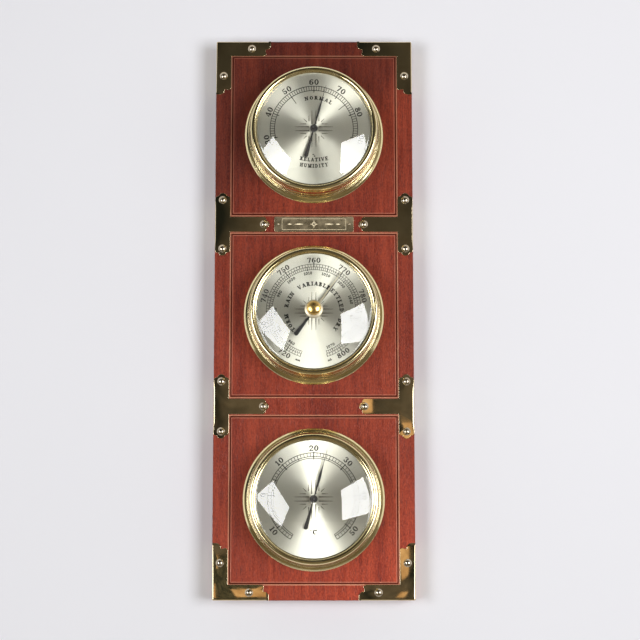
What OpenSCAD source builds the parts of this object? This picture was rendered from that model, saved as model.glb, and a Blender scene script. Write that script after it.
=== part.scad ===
// Wall weather station: hygrometer, aneroid barometer and thermometer on one board.
// +Z is up, the front looks along -Y and the wall plane is y = 0.
// The origin is the centre of the keyhole hanger's round entry.

/* [Board] */
// Width of the board over its brass edges
board_w = 145; // [140:0.5:160]
// Height of the board
board_h = 410; // [405:1:440]
// Thickness of the board
board_t = 18; // [17:0.5:24]
// Chamfer along the board's long and short edges
board_chamfer = 0.5; // [0.2:0.1:1]

/* [Fields] */
// Width of the stile at each side, from the board's edge to the groove's centre
stile_w = 12.3; // [11.6:0.1:14]
// Width of the rail at each end, from the board's edge to the groove's centre
end_rail_w = 11.9; // [11.6:0.1:14]
// Width of the rail between two fields, groove centre to groove centre
rail_w = 14.6; // [13.6:0.2:18]
// Width of the V groove at the surface
groove_w = 1.5; // [0.8:0.1:2]
// Depth of the V groove
groove_d = 1.0; // [0.5:0.1:1.5]

/* [Brass plates] */
// Thickness of the plate brass
plate_t = 0.6; // [0.4:0.1:1]
// Width of a plate's arm
plate_arm_w = 11.2; // [10:0.1:11.4]
// Length of a corner plate's arm along the outer edge
corner_arm_l = 40.5; // [36:0.5:46]
// How far a plate is folded back over the board's edge
fold_l = 12; // [6:0.5:15]
// Corner radius of a fold
fold_corner_r = 2; // [1:0.5:4]
// Length of a side plate's bar
side_bar_l = 46.6; // [42:0.2:50]
// Gap between the tip of a side plate's arm and the name plate
arm_tip_gap = 3.7; // [1:0.1:8]
// Large lobe at the end of a corner plate's arm
lobe_r = 3.5; // [2.5:0.1:4]
// Straight edge before the large lobe
lobe_in = 2.8; // [2:0.1:3.2]
// Small lobe at the end of a corner plate's arm
lip_r = 1.9; // [1.2:0.1:2.2]
// Depth of the cove between the two lobes
cove_d = 0.4; // [0.2:0.1:0.8]
// Middle lobe at the end of a side plate
tip_r = 3; // [2.4:0.1:3.4]
// Shoulders at the end of a side plate
shoulder_r = 2.2; // [1.6:0.1:2.4]

/* [Nails] */
// Radius of a nail's domed head
nail_head_r = 2.9; // [2:0.1:3.4]
// Height of a nail's domed head
nail_head_h = 1.5; // [1:0.1:2]
// Radius of a nail's shank
nail_r = 0.75; // [0.5:0.05:1]
// Length of a nail's shank
nail_l = 9; // [6:0.5:12]
// Distance of a nail from the board's edge
nail_edge = 5.6; // [4.5:0.1:6.2]
// Distance of a corner plate's nail from the corner
nail_along = 26.4; // [20:0.2:30]
// Distance of a side plate's nail from the bar's middle
nail_side = 18.1; // [15:0.1:19]
// Distance of the nail in a side plate's arm from the arm's tip
nail_tip = 3.9; // [3.4:0.1:8]

/* [Name plate] */
// Width of the name plate
name_w = 58; // [50:0.5:60]
// Height of the name plate
name_h = 11.4; // [9:0.1:12]
// Thickness of the name plate
name_t = 0.8; // [0.5:0.1:1.2]
// Corner radius of the name plate
name_corner_r = 1.2; // [0.6:0.1:2]
// Distance between the name plate's two pins
name_pin_pitch = 51.8; // [44:0.2:53]
// Radius of a name plate pin's head
name_pin_head_r = 0.9; // [0.6:0.1:1.2]
// Radius of a name plate pin's shank
name_pin_r = 0.4; // [0.3:0.05:0.5]
// Length of a name plate pin's shank
name_pin_l = 6; // [4:0.5:8]

/* [Hanger] */
// Distance from the board's top edge to the hanger's round entry
hanger_drop = 19; // [17:0.5:21]
// Radius of the hanger's round entry
hanger_entry_r = 4.5; // [4:0.1:5]
// Radius of the hanger's slot
hanger_slot_r = 2.1; // [1.8:0.1:2.4]
// Height of the slot's end over the entry's centre
hanger_slot_l = 6.5; // [6:0.1:7]
// Width of the hanger plate
hanger_w = 42; // [38:1:50]
// Height of the hanger plate
hanger_h = 18; // [17:0.5:19]
// Thickness of the hanger plate
hanger_t = 1.5; // [1:0.1:2]
// Depth of the hollow for the screw's head behind the hanger plate
hanger_hollow_d = 9; // [7:0.5:11]
// Distance between the hanger's two screws
hanger_screw_pitch = 32; // [28:0.5:34]
// Radius of a hanger screw's shank
hanger_screw_r = 1.3; // [1:0.1:1.5]
// Radius of a hanger screw's head
hanger_screw_head_r = 2.6; // [2.2:0.1:2.8]
// Length of a hanger screw
hanger_screw_l = 11; // [8:0.5:13]

/* [Cases] */
// Reach of the case's flange beyond the barrel
flange_reach = 6; // [5.5:0.1:8]
// Radius of the bead round the flange
bead_r = 1.3; // [1:0.05:1.5]
// Radius of the case's barrel
barrel_r = 45; // [44.6:0.1:45.6]
// Wall of the case's barrel
barrel_wall = 1.2; // [0.9:0.1:1.4]
// Thickness of the case's floor
case_floor_t = 1.2; // [1:0.1:2]
// Reach of the ridge under the bezel beyond the barrel
ridge_reach = 1.6; // [1.2:0.1:2.2]
// Height of the ridge over the board
ridge_h = 9; // [8:0.1:10]
// Width of the case's floor, from the barrel's outside to its hole
case_floor_w = 8; // [7.6:0.1:9]
// Height of the dial's face over the board
dial_h = 19; // [18:0.1:22]
// Thickness of the dial plate
dial_t = 0.6; // [0.4:0.1:1]
// Thickness of the lens
lens_t = 1.8; // [1.4:0.1:2.2]
// Height of the lens's dome over its rim
dome_h = 8.5; // [7.5:0.1:12]
// Reach of the bezel's lip inwards from the barrel's outside
lip_reach = 3.6; // [3:0.1:4.2]
// Thickness of the bezel's lip
lip_t = 0.7; // [0.5:0.1:1]
// Radius of the bezel's roll in section
roll_r = 2.3; // [2:0.05:2.4]
// Wall of the bezel's skirt
skirt_wall = 1.1; // [0.8:0.1:1.3]
// Wall of the spacer ring under the dial
spacer_wall = 1.5; // [1:0.1:1.8]

/* [Back cups] */
// Wall of a back cup
cup_wall = 0.8; // [0.6:0.1:1]
// Space between a cup's floor and the wall plane
cup_back_gap = 3; // [2.2:0.1:4]
// Distance of a case screw from the barrel's outside
case_screw_in = 5; // [4.8:0.1:5.4]
// Radius of a case screw's shank
case_screw_r = 1.1; // [0.9:0.05:1.2]
// Radius of a case screw's head
case_screw_head_r = 1.9; // [1.6:0.05:2]
// Length of a case screw's shank
case_screw_l = 11; // [8:0.5:13]
// Radius of a vent hole in a cup's floor
vent_r = 2; // [1.5:0.1:2.5]
// Radius of the circle of vent holes
vent_ring_r = 22; // [18:0.5:28]

/* [Pointers] */
// Reach of the hygrometer's pointer
hygrometer_tip_l = 33; // [30:0.5:35]
// Reach of the thermometer's pointer
thermometer_tip_l = 35.5; // [32:0.5:37]
// Reach of the barometer's pointer
barometer_tip_l = 33; // [30:0.5:35]
// Reach of a pointer's tail
tail_l = 22; // [18:0.5:24]
// Thickness of a pointer
pointer_t = 0.4; // [0.3:0.05:0.6]
// Radius of a pointer's hub
pointer_hub_r = 2.7; // [2:0.1:3]
// Hygrometer's reading, clockwise from the top
hygrometer_angle = 15.5; // [-90:0.5:90]
// Thermometer's reading, clockwise from the top
thermometer_angle = 15.5; // [-90:0.5:90]
// Barometer's reading, clockwise from the top
barometer_angle = 37.2; // [-60:0.1:60]
// Set hand's position, clockwise from the top
set_hand_angle = 35.3; // [-90:0.1:90]

/* [Set knob] */
// Radius of the knob's head
knob_head_r = 5.15; // [4:0.05:6]
// Radius of the rounding round the head's front
knob_rim_r = 2.2; // [1.6:0.1:2.8]
// Radius of curvature of the head's front
knob_front_r = 9.5; // [8:0.5:14]
// Radius of the knob's collar
knob_collar_r = 6.6; // [5.5:0.1:8]
// Thickness of the knob's collar
knob_collar_t = 1.4; // [1:0.1:2]
// Radius of the set hand's shaft
set_shaft_r = 1; // [0.8:0.05:1.2]
// Reach of the set hand
set_hand_l = 33.8; // [30:0.2:34.2]
// Angle at which the set hand droops towards the dial
set_hand_droop = 3.2; // [2.8:0.1:3.4]

/* [Coil movements] */
// Radius of a spindle
spindle_r = 0.6; // [0.5:0.05:0.8]
// Turns of the bimetal coil
coil_turns = 6; // [4:1:7]
// Step from one turn of the bimetal coil to the next
coil_step = 1.1; // [1:0.05:1.2]
// Thickness of the bimetal strip
coil_t = 0.3; // [0.2:0.05:0.4]
// Width of the bimetal strip
coil_w = 2.5; // [2:0.1:3]
// Distance from the spindle to a bridge's leg
bridge_half_l = 14; // [12:0.5:16]
// Width of a bridge
bridge_w = 7; // [5:0.5:9]
// Thickness of a bridge
bridge_t = 0.8; // [0.6:0.1:1]
// Depth of a bridge behind the dial
bridge_d = 9; // [8:0.5:11]

/* [Aneroid movement] */
// Radius of the movement's base plate
base_r = 31; // [28:0.5:34]
// Thickness of the movement's base plate
base_t = 1.6; // [1.2:0.1:2]
// Radius of the aneroid capsule
capsule_r = 17; // [14:0.5:18]
// Height of the aneroid capsule over its waves
capsule_h = 6.6; // [6:0.1:7]
// Height of one wave in the capsule's skin
wave_h = 0.5; // [0.3:0.05:0.6]
// Thickness of the main spring
spring_t = 1.2; // [0.8:0.1:1.4]
// Width of the main spring
spring_w = 12; // [10:0.5:13]
// Thickness of the frame's plates
frame_t = 1.2; // [1:0.1:1.4]
// Width of the frame plate's bar across the spindle
frame_cross_w = 12; // [10:0.5:13]
// Width of the frame plate's spine
frame_spine_w = 16; // [14:0.5:18]
// Width of the frame plate's bar at the sector's arbor
frame_arm_w = 8; // [6:0.5:9]
// Radius of the frame's pillars
pillar_r = 1.8; // [1.4:0.1:2.2]
// Radius of the circle of frame pillars
pillar_ring_r = 22; // [21:0.5:25]
// Module of the sector and the pinion
gear_module = 0.4; // [0.38:0.01:0.42]
// Teeth on the pinion
pinion_teeth = 10; // [10:1:10]
// Teeth on the whole circle of the sector
sector_circle_teeth = 60; // [60:1:60]
// Teeth that the sector carries
sector_teeth = 13; // [11:2:15]
// Radius of the adjusting screw
adjust_r = 2; // [1.6:0.1:2.4]

/* [Hidden] */
$fn = 64;
eps = 0.05;
// Radial clearance of a running fit, and the gap between pieces that only pass
run_gap = 0.03;
slip_gap = 0.05;
free_gap = 0.3;
touch_gap = 0.15;

// The three fields, the arms between them and the radii that follow the barrel
field_w = board_w - 2 * stile_w;
field_h = (board_h - 2 * end_rail_w - 2 * rail_w) / 3;
field_pitch = field_h + rail_w;
side_arm_l = (board_w - name_w) / 2 - arm_tip_gap;
nail_arm = side_arm_l - nail_tip;
flange_r = barrel_r + flange_reach;
ridge_r = barrel_r + ridge_reach;
pocket_r = barrel_r - case_floor_w;
lip_inner_r = barrel_r - lip_reach;
case_screw_ring_r = barrel_r - case_screw_in;

// Heights of the board's middle and of the three instruments
board_mid_z = hanger_drop - board_h / 2;
function dial_z(i) = board_mid_z + (1 - i) * field_pitch;
HYGROMETER = 0;
BAROMETER = 1;
THERMOMETER = 2;
// Heights over the board's face, along an instrument's own axis
rim_h = dial_h + lens_t;
dome_r = (pow(lip_inner_r, 2) + pow(dome_h, 2)) / (2 * dome_h);
dome_centre_h = rim_h + dome_h - dome_r;
dome_top_h = rim_h + dome_h;
barrel_in_r = barrel_r - barrel_wall;
seat_r = barrel_in_r - slip_gap;
barrel_top_h = rim_h - free_gap;
skirt_r = barrel_r + slip_gap + skirt_wall;
skirt_bottom_h = ridge_h + 2 * touch_gap + skirt_wall;
roll_h = rim_h + lip_t - roll_r / 2;
cup_r = pocket_r - slip_gap * 4;
cup_rim_h = case_floor_t + cup_wall;
cup_floor_h = cup_back_gap - board_t;
cup_inside_h = cup_floor_h + cup_wall;

// Pointer heights
pointer_h = dial_h + 1.5;
pointer_hub_h = pointer_h + pointer_t + 0.7;
spindle_top_h = pointer_hub_h + 0.5;
set_hand_h = spindle_top_h + 0.9;

// Bimetal movement heights
bridge_h = dial_h - dial_t - bridge_d;
coil_mid_h = bridge_h + bridge_d / 2;
pivot_r = spindle_r * 0.7;
collet_r = spindle_r + 0.8;
bush_r = spindle_r + 1.2;

// Aneroid movement heights
base_top_h = cup_inside_h + base_t;
capsule_bottom_h = base_top_h + 1.6;
capsule_top_h = capsule_bottom_h + capsule_h;
spring_h = capsule_top_h + 4;
post_head_t = 1;
nipple_r = 0.8;
nipple_h = spring_h + spring_t + post_head_t + nipple_r;
lever_t = 0.8;
lever_h = nipple_h + touch_gap;
lever_pivot_h = lever_h + lever_t / 2;
lever_pivot_y = -5;
arbor_r = 0.7;
rocker_h = lever_pivot_h + 2.45;
frame_h = rocker_h + arbor_r + 1.3;
train_top_h = dial_h - dial_t - 1.4;
sector_t = 1;
sector_h = train_top_h - frame_t - 2;
sector_pin_r = 0.4;
sector_pin_l = 1.1;
hairspring_h = frame_h + frame_t + 0.8;

// The sector's arbor stands over the rocker's shaft
train_ratio = sector_circle_teeth / pinion_teeth;
pinion_pitch_r = gear_module * pinion_teeth / 2;
sector_pitch_r = gear_module * sector_circle_teeth / 2;
train_distance = pinion_pitch_r + sector_pitch_r;
rocker_y = 9;
sector_x = sqrt(pow(train_distance, 2) - pow(rocker_y, 2));
rocker_reach = 7;
rocker_pin_r = 0.5;
lever_reach = rocker_y + rocker_reach - lever_pivot_y;
finger_l = sector_h - sector_pin_l / 2 - rocker_h;
rocker_per_sector = 7 / 24;
sector_tail_r = finger_l * tan(24 * rocker_per_sector) / sin(24);
sector_angle = barometer_angle / train_ratio;
rocker_angle = -sector_angle * rocker_per_sector;
lever_angle = rocker_angle * rocker_reach / lever_reach;

mahogany = [0.52, 0.17, 0.11];
brass = [0.80, 0.66, 0.36];
old_brass = [0.62, 0.52, 0.30];
silvered = [0.86, 0.85, 0.78];
steel = [0.62, 0.63, 0.65];
black = [0.08, 0.08, 0.08];
clear = [0.85, 0.92, 0.95, 0.35];

// On the board's face: x to the right, y up, z towards the viewer
module on_front() {
    translate([0, -board_t, board_mid_z]) rotate([90, 0, 0]) children();
}

// On an instrument's own axis, with z = 0 on the board's face
module at_dial(i) {
    translate([0, -board_t, dial_z(i)]) rotate([90, 0, 0]) children();
}

module ring_of(count, radius, start = 90) {
    for (k = [0 : count - 1]) rotate(start + k * 360 / count) translate([radius, 0]) children();
}

module rounded_2d(w, h, r) {
    square([w - 2 * r, h], center = true);
    square([w, h - 2 * r], center = true);
    for (sx = [-1, 1], sy = [-1, 1]) translate([sx * (w / 2 - r), sy * (h / 2 - r)]) circle(r);
}

module strip_2d(p, q, w) {
    d = q - p;
    translate(p) rotate(atan2(d[1], d[0])) translate([0, -w / 2]) square([norm(d), w]);
}

module bar_2d(p, q, w) {
    strip_2d(p, q, w);
    translate(p) circle(w / 2);
    translate(q) circle(w / 2);
}

module tube(r_out, r_in, h) {
    linear_extrude(h) difference() {
        circle(r_out);
        circle(r_in);
    }
}

// Brass plates

// An arm from a corner: the outer edge lies on y = 0, the inner edge at the arm's width
module corner_arm_2d() {
    cove_x = corner_arm_l - lobe_r - cove_d;
    lip_x = corner_arm_l - lobe_r - lip_r;
    square([lip_x, plate_arm_w]);
    square([cove_x, plate_arm_w - lip_r]);
    translate([lip_x, plate_arm_w - lip_r]) circle(lip_r);
    square([corner_arm_l, lobe_in]);
    intersection() {
        translate([corner_arm_l - lobe_r, lobe_in]) circle(lobe_r);
        square([corner_arm_l, plate_arm_w]);
    }
}

// A side plate's end, with its tip on y = 0 and the plate below it
module side_end_2d(l) {
    w = plate_arm_w;
    translate([-w / 2, -l]) square([w, l - 2 * shoulder_r]);
    translate([-w / 2 + shoulder_r, -l]) square([w - 2 * shoulder_r, l - shoulder_r]);
    for (s = [-1, 1]) translate([s * (w / 2 - shoulder_r), -2 * shoulder_r]) circle(shoulder_r);
    translate([0, -tip_r]) circle(tip_r);
}

module fold_2d(l) {
    square([l - fold_corner_r, fold_l]);
    square([l, fold_l - fold_corner_r]);
    translate([l - fold_corner_r, fold_l - fold_corner_r]) circle(fold_corner_r);
}

// The corner lies on the origin, with the arms along +x and +y and z towards the viewer
module corner_plate_solid(hole_r) {
    linear_extrude(plate_t) difference() {
        union() {
            corner_arm_2d();
            mirror([1, -1]) corner_arm_2d();
        }
        translate([nail_along, nail_edge]) circle(hole_r);
        translate([nail_edge, nail_along]) circle(hole_r);
    }
    corner_folds();
}

module corner_folds() {
    fold_end = corner_arm_l;
    translate([0, plate_t, 0]) rotate([90, 0, 0]) linear_extrude(plate_t) mirror([0, 1]) fold_2d(fold_end);
    mirror([1, -1, 0]) translate([0, plate_t, 0]) rotate([90, 0, 0]) linear_extrude(plate_t)
        mirror([0, 1]) fold_2d(fold_end);
}

// The board's edge lies on x = 0, the bar runs along y and the arm along +x
module side_plate_solid(hole_r) {
    bar_half = side_bar_l / 2;
    linear_extrude(plate_t) difference() {
        union() {
            for (s = [0, 1]) mirror([0, s]) translate([plate_arm_w / 2, bar_half]) side_end_2d(bar_half);
            translate([side_arm_l, 0]) rotate(-90) side_end_2d(side_arm_l);
        }
        for (s = [-1, 1]) translate([nail_edge, s * nail_side]) circle(hole_r);
        translate([nail_arm, 0]) circle(hole_r);
    }
    side_fold();
}

module side_fold() {
    fold_half = side_bar_l / 2 - 2 * shoulder_r;
    for (s = [0, 1]) mirror([0, s, 0]) rotate([90, 0, 90]) linear_extrude(plate_t)
        mirror([0, 1]) fold_2d(fold_half);
}

// side is -1 on the left and 1 on the right, level is 1 at the top and -1 at the bottom
module at_corner(side, level) {
    on_front() translate([side * board_w / 2, level * board_h / 2, 0])
        mirror([side > 0 ? 1 : 0, 0, 0]) mirror([0, level > 0 ? 1 : 0, 0]) children();
}

module at_side(side, level) {
    on_front() translate([side * board_w / 2, level * field_pitch / 2, 0])
        mirror([side > 0 ? 1 : 0, 0, 0]) children();
}

module corner_plate(side, level) {
    color(brass) at_corner(side, level) corner_plate_solid(nail_r + slip_gap);
}

module side_plate(side, level) {
    color(brass) at_side(side, level) side_plate_solid(nail_r + slip_gap);
}

module corner_plate_top_left() { corner_plate(-1, 1); }
module corner_plate_top_right() { corner_plate(1, 1); }
module corner_plate_bottom_left() { corner_plate(-1, -1); }
module corner_plate_bottom_right() { corner_plate(1, -1); }
module side_plate_upper_left() { side_plate(-1, 1); }
module side_plate_upper_right() { side_plate(1, 1); }
module side_plate_lower_left() { side_plate(-1, -1); }
module side_plate_lower_right() { side_plate(1, -1); }

module at_nails() {
    for (side = [-1, 1], level = [-1, 1]) {
        at_corner(side, level) {
            translate([nail_along, nail_edge, plate_t]) children();
            translate([nail_edge, nail_along, plate_t]) children();
        }
        at_side(side, level) {
            for (s = [-1, 1]) translate([nail_edge, s * nail_side, plate_t]) children();
            translate([nail_arm, 0, plate_t]) children();
        }
    }
}

// A domed head is the cap of a ball, and the shank ends in a point
module domed_nail(head_r, head_h, shank_r, shank_l) {
    ball_r = (pow(head_r, 2) + pow(head_h, 2)) / (2 * head_h);
    point_l = 2 * shank_r;
    rotate_extrude() {
        intersection() {
            translate([0, head_h - ball_r]) circle(ball_r, $fn = 96);
            square([head_r, head_h]);
        }
        translate([0, point_l - shank_l]) square([shank_r, shank_l - point_l + eps]);
        polygon([[0, -shank_l], [shank_r, point_l - shank_l], [0, point_l - shank_l]]);
    }
}

module plate_nails() {
    color(brass) at_nails() domed_nail(nail_head_r, nail_head_h, nail_r, nail_l);
}

// Name plate

module at_name() {
    on_front() translate([0, field_pitch / 2, 0]) children();
}

module at_name_pins() {
    at_name() for (s = [-1, 1]) translate([s * name_pin_pitch / 2, 0, name_t]) children();
}

module name_plate() {
    color(brass) at_name() linear_extrude(name_t) difference() {
        rounded_2d(name_w, name_h, name_corner_r);
        for (s = [-1, 1]) translate([s * name_pin_pitch / 2, 0]) circle(name_pin_r + slip_gap);
    }
}

module name_plate_pins() {
    color(brass) at_name_pins() domed_nail(name_pin_head_r, name_pin_head_r * 0.6, name_pin_r, name_pin_l);
}

// Board

// One side of a field's groove: a V cut with mitred ends
module groove_side(l) {
    half = l / 2;
    rise = groove_w / 2;
    intersection() {
        rotate([90, 0, 90]) linear_extrude(l + groove_w, center = true)
            polygon([[-rise, 0], [-rise, eps], [rise, eps], [rise, 0], [0, -groove_d]]);
        translate([0, 0, -groove_d - eps]) linear_extrude(groove_d + 3 * eps)
            polygon([[-half - rise, rise], [half + rise, rise], [half - rise, -rise], [-half + rise, -rise]]);
    }
}

module field_groove() {
    for (s = [0, 180]) {
        rotate(s) translate([0, field_h / 2, 0]) groove_side(field_w);
        rotate(s + 90) translate([0, field_w / 2, 0]) groove_side(field_h);
    }
}

module board_blank() {
    c = board_chamfer;
    w = board_w / 2;
    h = board_h / 2;
    intersection() {
        translate([0, 0, board_mid_z - h]) linear_extrude(board_h)
            polygon([[-w, 0], [w, 0], [w, c - board_t], [w - c, -board_t], [c - w, -board_t], [-w, c - board_t]]);
        translate([-w, 0, board_mid_z]) rotate([90, 0, 90]) linear_extrude(board_w)
            polygon([[0, -h], [0, h], [c - board_t, h], [-board_t, h - c], [-board_t, c - h], [c - board_t, -h]]);
    }
}

module backboard() {
    color(mahogany) difference() {
        board_blank();
        for (i = [HYGROMETER, BAROMETER, THERMOMETER]) at_dial(i) {
            translate([0, 0, -board_t - eps]) cylinder(h = board_t + 2 * eps, r = pocket_r);
            field_groove();
            ring_of(3, case_screw_ring_r) translate([0, 0, cup_rim_h - case_screw_l - eps])
                cylinder(h = case_screw_l, r = case_screw_r + run_gap);
        }
        for (side = [-1, 1], level = [-1, 1]) {
            at_corner(side, level) corner_folds();
            at_side(side, level) side_fold();
        }
        at_nails() translate([0, 0, -nail_l - eps]) cylinder(h = nail_l, r = nail_r + run_gap);
        at_name_pins() translate([0, 0, -name_pin_l - eps]) cylinder(h = name_pin_l, r = name_pin_r + run_gap);
        hanger_recess();
    }
}

// Hanger on the back: x to the right, y up and z out of the wall side

module at_hanger() {
    rotate([90, 0, 0]) mirror([0, 0, 1]) children();
}

module at_hanger_screws() {
    at_hanger() for (s = [-1, 1]) translate([s * hanger_screw_pitch / 2, hanger_mid_y, 0]) children();
}

hanger_mid_y = hanger_slot_l / 4;
hanger_corner_r = 2;

module hanger_outline_2d(gap) {
    translate([0, hanger_mid_y]) rounded_2d(hanger_w + 2 * gap, hanger_h + 2 * gap, hanger_corner_r);
}

module hanger_recess() {
    hollow_r = hanger_entry_r + 0.7;
    at_hanger() {
        translate([0, 0, -hanger_t]) linear_extrude(hanger_t + eps) hanger_outline_2d(slip_gap);
        translate([0, 0, -hanger_t - hanger_hollow_d]) linear_extrude(hanger_hollow_d + eps)
            bar_2d([0, 0], [0, hanger_slot_l], 2 * hollow_r);
    }
    at_hanger_screws() translate([0, 0, -hanger_screw_l - eps])
        cylinder(h = hanger_screw_l, r = hanger_screw_r + run_gap);
}

module hanger_plate() {
    color(old_brass) difference() {
        at_hanger() translate([0, 0, -hanger_t]) linear_extrude(hanger_t) difference() {
            hanger_outline_2d(0);
            circle(hanger_entry_r);
            bar_2d([0, 0], [0, hanger_slot_l], 2 * hanger_slot_r);
        }
        at_hanger_screws() screw_countersink(run_gap);
    }
}

module screw_countersink(gap) {
    translate([0, 0, -hanger_t - eps]) cylinder(
        h = hanger_t + 2 * eps,
        r1 = hanger_screw_r + gap,
        r2 = hanger_screw_head_r + gap
    );
}

module hanger_screws() {
    drive_w = 0.6;
    color(steel) at_hanger_screws() difference() {
        union() {
            translate([0, 0, -hanger_t]) cylinder(h = hanger_t, r1 = hanger_screw_r, r2 = hanger_screw_head_r);
            translate([0, 0, -hanger_screw_l]) cylinder(h = hanger_screw_l - hanger_t + eps, r = hanger_screw_r);
        }
        cube([3 * hanger_screw_head_r, drive_w, 1.2], center = true);
    }
}

// Cases: the parts that all three instruments share

// Centre of the flange's hollow curve, which runs from the ridge to the bead
module case_section() {
    top = [ridge_r - 0.3, ridge_h - 1.6];
    foot = [flange_r - bead_r - 0.3, 2 * bead_r - 0.1];
    chord = norm(top - foot);
    hollow_r = chord * 0.9;
    out = [top[1] - foot[1], foot[0] - top[0]] / chord;
    hollow_c = (top + foot) / 2 + out * sqrt(pow(hollow_r, 2) - pow(chord / 2, 2));
    ridge_bead_r = 0.8;
    difference() {
        polygon([[pocket_r, 0], [flange_r - bead_r, 0], foot, top, [barrel_r, ridge_h], [pocket_r, ridge_h]]);
        translate(hollow_c) circle(hollow_r, $fn = 128);
    }
    translate([flange_r - bead_r, bead_r]) circle(bead_r);
    translate([barrel_in_r, 0]) square([flange_r - bead_r - barrel_in_r, 1]);
    translate([ridge_r - ridge_bead_r, ridge_h - ridge_bead_r]) circle(ridge_bead_r);
    translate([barrel_in_r, 0]) square([barrel_r - barrel_in_r, barrel_top_h]);
}

module instrument_case(i) {
    color(brass) at_dial(i) difference() {
        rotate_extrude() difference() {
            case_section();
            translate([pocket_r - 1, case_floor_t]) square([barrel_in_r - pocket_r + 1, rim_h]);
        }
        ring_of(3, case_screw_ring_r) translate([0, 0, -eps])
            cylinder(h = case_floor_t + 2 * eps, r = case_screw_r + slip_gap);
    }
}

// A rolled ring with a skirt that grips the barrel and a lip that holds the lens
module instrument_bezel(i) {
    skirt_in_r = barrel_r + slip_gap;
    lip_top_h = rim_h + lip_t;
    roll_c = [skirt_r - roll_r + 0.1, roll_h];
    skirt_bead_r = 0.7;
    color(brass) at_dial(i) rotate_extrude() difference() {
        union() {
            translate(roll_c) circle(roll_r);
            polygon([
                [lip_inner_r, roll_h], [roll_c[0] + 0.4, roll_h],
                [roll_c[0] + 0.4, roll_h + 0.8 * roll_r], [lip_inner_r, lip_top_h]
            ]);
            translate([skirt_in_r, skirt_bottom_h]) square([skirt_wall, roll_h - skirt_bottom_h - 0.4]);
            translate([skirt_r - skirt_bead_r + 0.1, skirt_bottom_h]) circle(skirt_bead_r);
        }
        square([skirt_in_r, rim_h]);
    }
}

// A flat rim with a domed middle of even thickness
module lens_section() {
    inside_r = dome_r - lens_t;
    intersection() {
        union() {
            square([seat_r, rim_h]);
            square([lip_inner_r, dome_top_h]);
        }
        translate([0, dial_h]) square([seat_r, dome_top_h - dial_h]);
        difference() {
            union() {
                translate([0, dome_centre_h]) circle(dome_r, $fn = 256);
                square([seat_r, rim_h]);
            }
            translate([0, dome_centre_h]) circle(inside_r, $fn = 256);
        }
    }
}

module instrument_lens(i, hole_r) {
    color(clear) at_dial(i) rotate_extrude() difference() {
        lens_section();
        translate([-1, 0]) square([hole_r + 1, 2 * dome_top_h]);
    }
}

module instrument_spacer_ring(i) {
    color(black) at_dial(i) translate([0, 0, cup_rim_h])
        tube(seat_r, seat_r - spacer_wall, dial_h - dial_t - cup_rim_h);
}

module instrument_dial(i, hole_r) {
    color(silvered) at_dial(i) translate([0, 0, dial_h - dial_t]) tube(seat_r, hole_r, dial_t);
}

module cup_blank() {
    rotate_extrude() {
        translate([0, cup_floor_h]) square([cup_r, cup_wall]);
        translate([cup_r - cup_wall, cup_floor_h]) square([cup_wall, cup_rim_h - cup_floor_h]);
        translate([cup_r - cup_wall, case_floor_t]) square([seat_r - cup_r + cup_wall, cup_wall]);
    }
}

module cup_rim_holes() {
    ring_of(3, case_screw_ring_r) translate([0, 0, case_floor_t - eps])
        cylinder(h = cup_wall + 2 * eps, r = case_screw_r + slip_gap);
}

module case_screws() {
    head_h = 1.2;
    drive_w = 0.5;
    color(steel) for (i = [HYGROMETER, BAROMETER, THERMOMETER]) at_dial(i)
        ring_of(3, case_screw_ring_r) translate([0, 0, cup_rim_h]) difference() {
            union() {
                cylinder(h = head_h, r = case_screw_head_r);
                translate([0, 0, -case_screw_l]) cylinder(h = case_screw_l + eps, r = case_screw_r);
            }
            translate([0, 0, head_h]) cube([3 * case_screw_head_r, drive_w, head_h], center = true);
        }
}

// A flat pointer along +y: a narrow neck, a leaf that thins to a needle, and a paddle for a tail
module pointer_2d(tip_l, tail_l, leaf_w, paddle_w) {
    neck_w = 0.8;
    needle_w = 0.24;
    hub_in = pointer_hub_r * 0.8;
    polygon([
        [-neck_w / 2, hub_in], [-leaf_w / 2, tip_l * 0.45], [-needle_w, tip_l * 0.72], [-needle_w / 2, tip_l],
        [needle_w / 2, tip_l], [needle_w, tip_l * 0.72], [leaf_w / 2, tip_l * 0.45], [neck_w / 2, hub_in]
    ]);
    polygon([
        [-neck_w / 2, -hub_in], [neck_w / 2, -hub_in],
        [paddle_w / 2, paddle_w / 2 - tail_l], [-paddle_w / 2, paddle_w / 2 - tail_l]
    ]);
    translate([0, paddle_w / 2 - tail_l]) circle(paddle_w / 2);
    circle(pointer_hub_r);
}

module instrument_pointer(i, angle, tip_l, leaf_w, paddle_w) {
    bore_r = spindle_r + run_gap / 2;
    color(black) at_dial(i) rotate(-angle) {
        translate([0, 0, pointer_h]) linear_extrude(pointer_t) difference() {
            pointer_2d(tip_l, tail_l, leaf_w, paddle_w);
            circle(bore_r);
        }
        translate([0, 0, pointer_h + pointer_t / 2]) difference() {
            cylinder(h = pointer_hub_h - pointer_h - pointer_t / 2, r = pointer_hub_r);
            translate([0, 0, -eps]) cylinder(h = pointer_hub_h, r = bore_r);
        }
    }
}

// Coil movement, the same in the hygrometer and the thermometer

coil_start_r = collet_r + slip_gap + coil_t / 2;
coil_end_r = coil_start_r + coil_turns * coil_step;
coil_stud_r = 0.6;

// A strip wound into a flat spiral with a fixed gap between its turns
function spiral_point(r0, step, t, a) = (r0 + step * a / 360 + t) * [cos(a), sin(a)];

module spiral_2d(r0, step, turns, t) {
    facets = 24;
    last = turns * facets;
    polygon(concat(
        [for (k = [0 : last]) spiral_point(r0, step, t / 2, k * 360 / facets)],
        [for (k = [last : -1 : 0]) spiral_point(r0, step, -t / 2, k * 360 / facets)]
    ));
}

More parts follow.
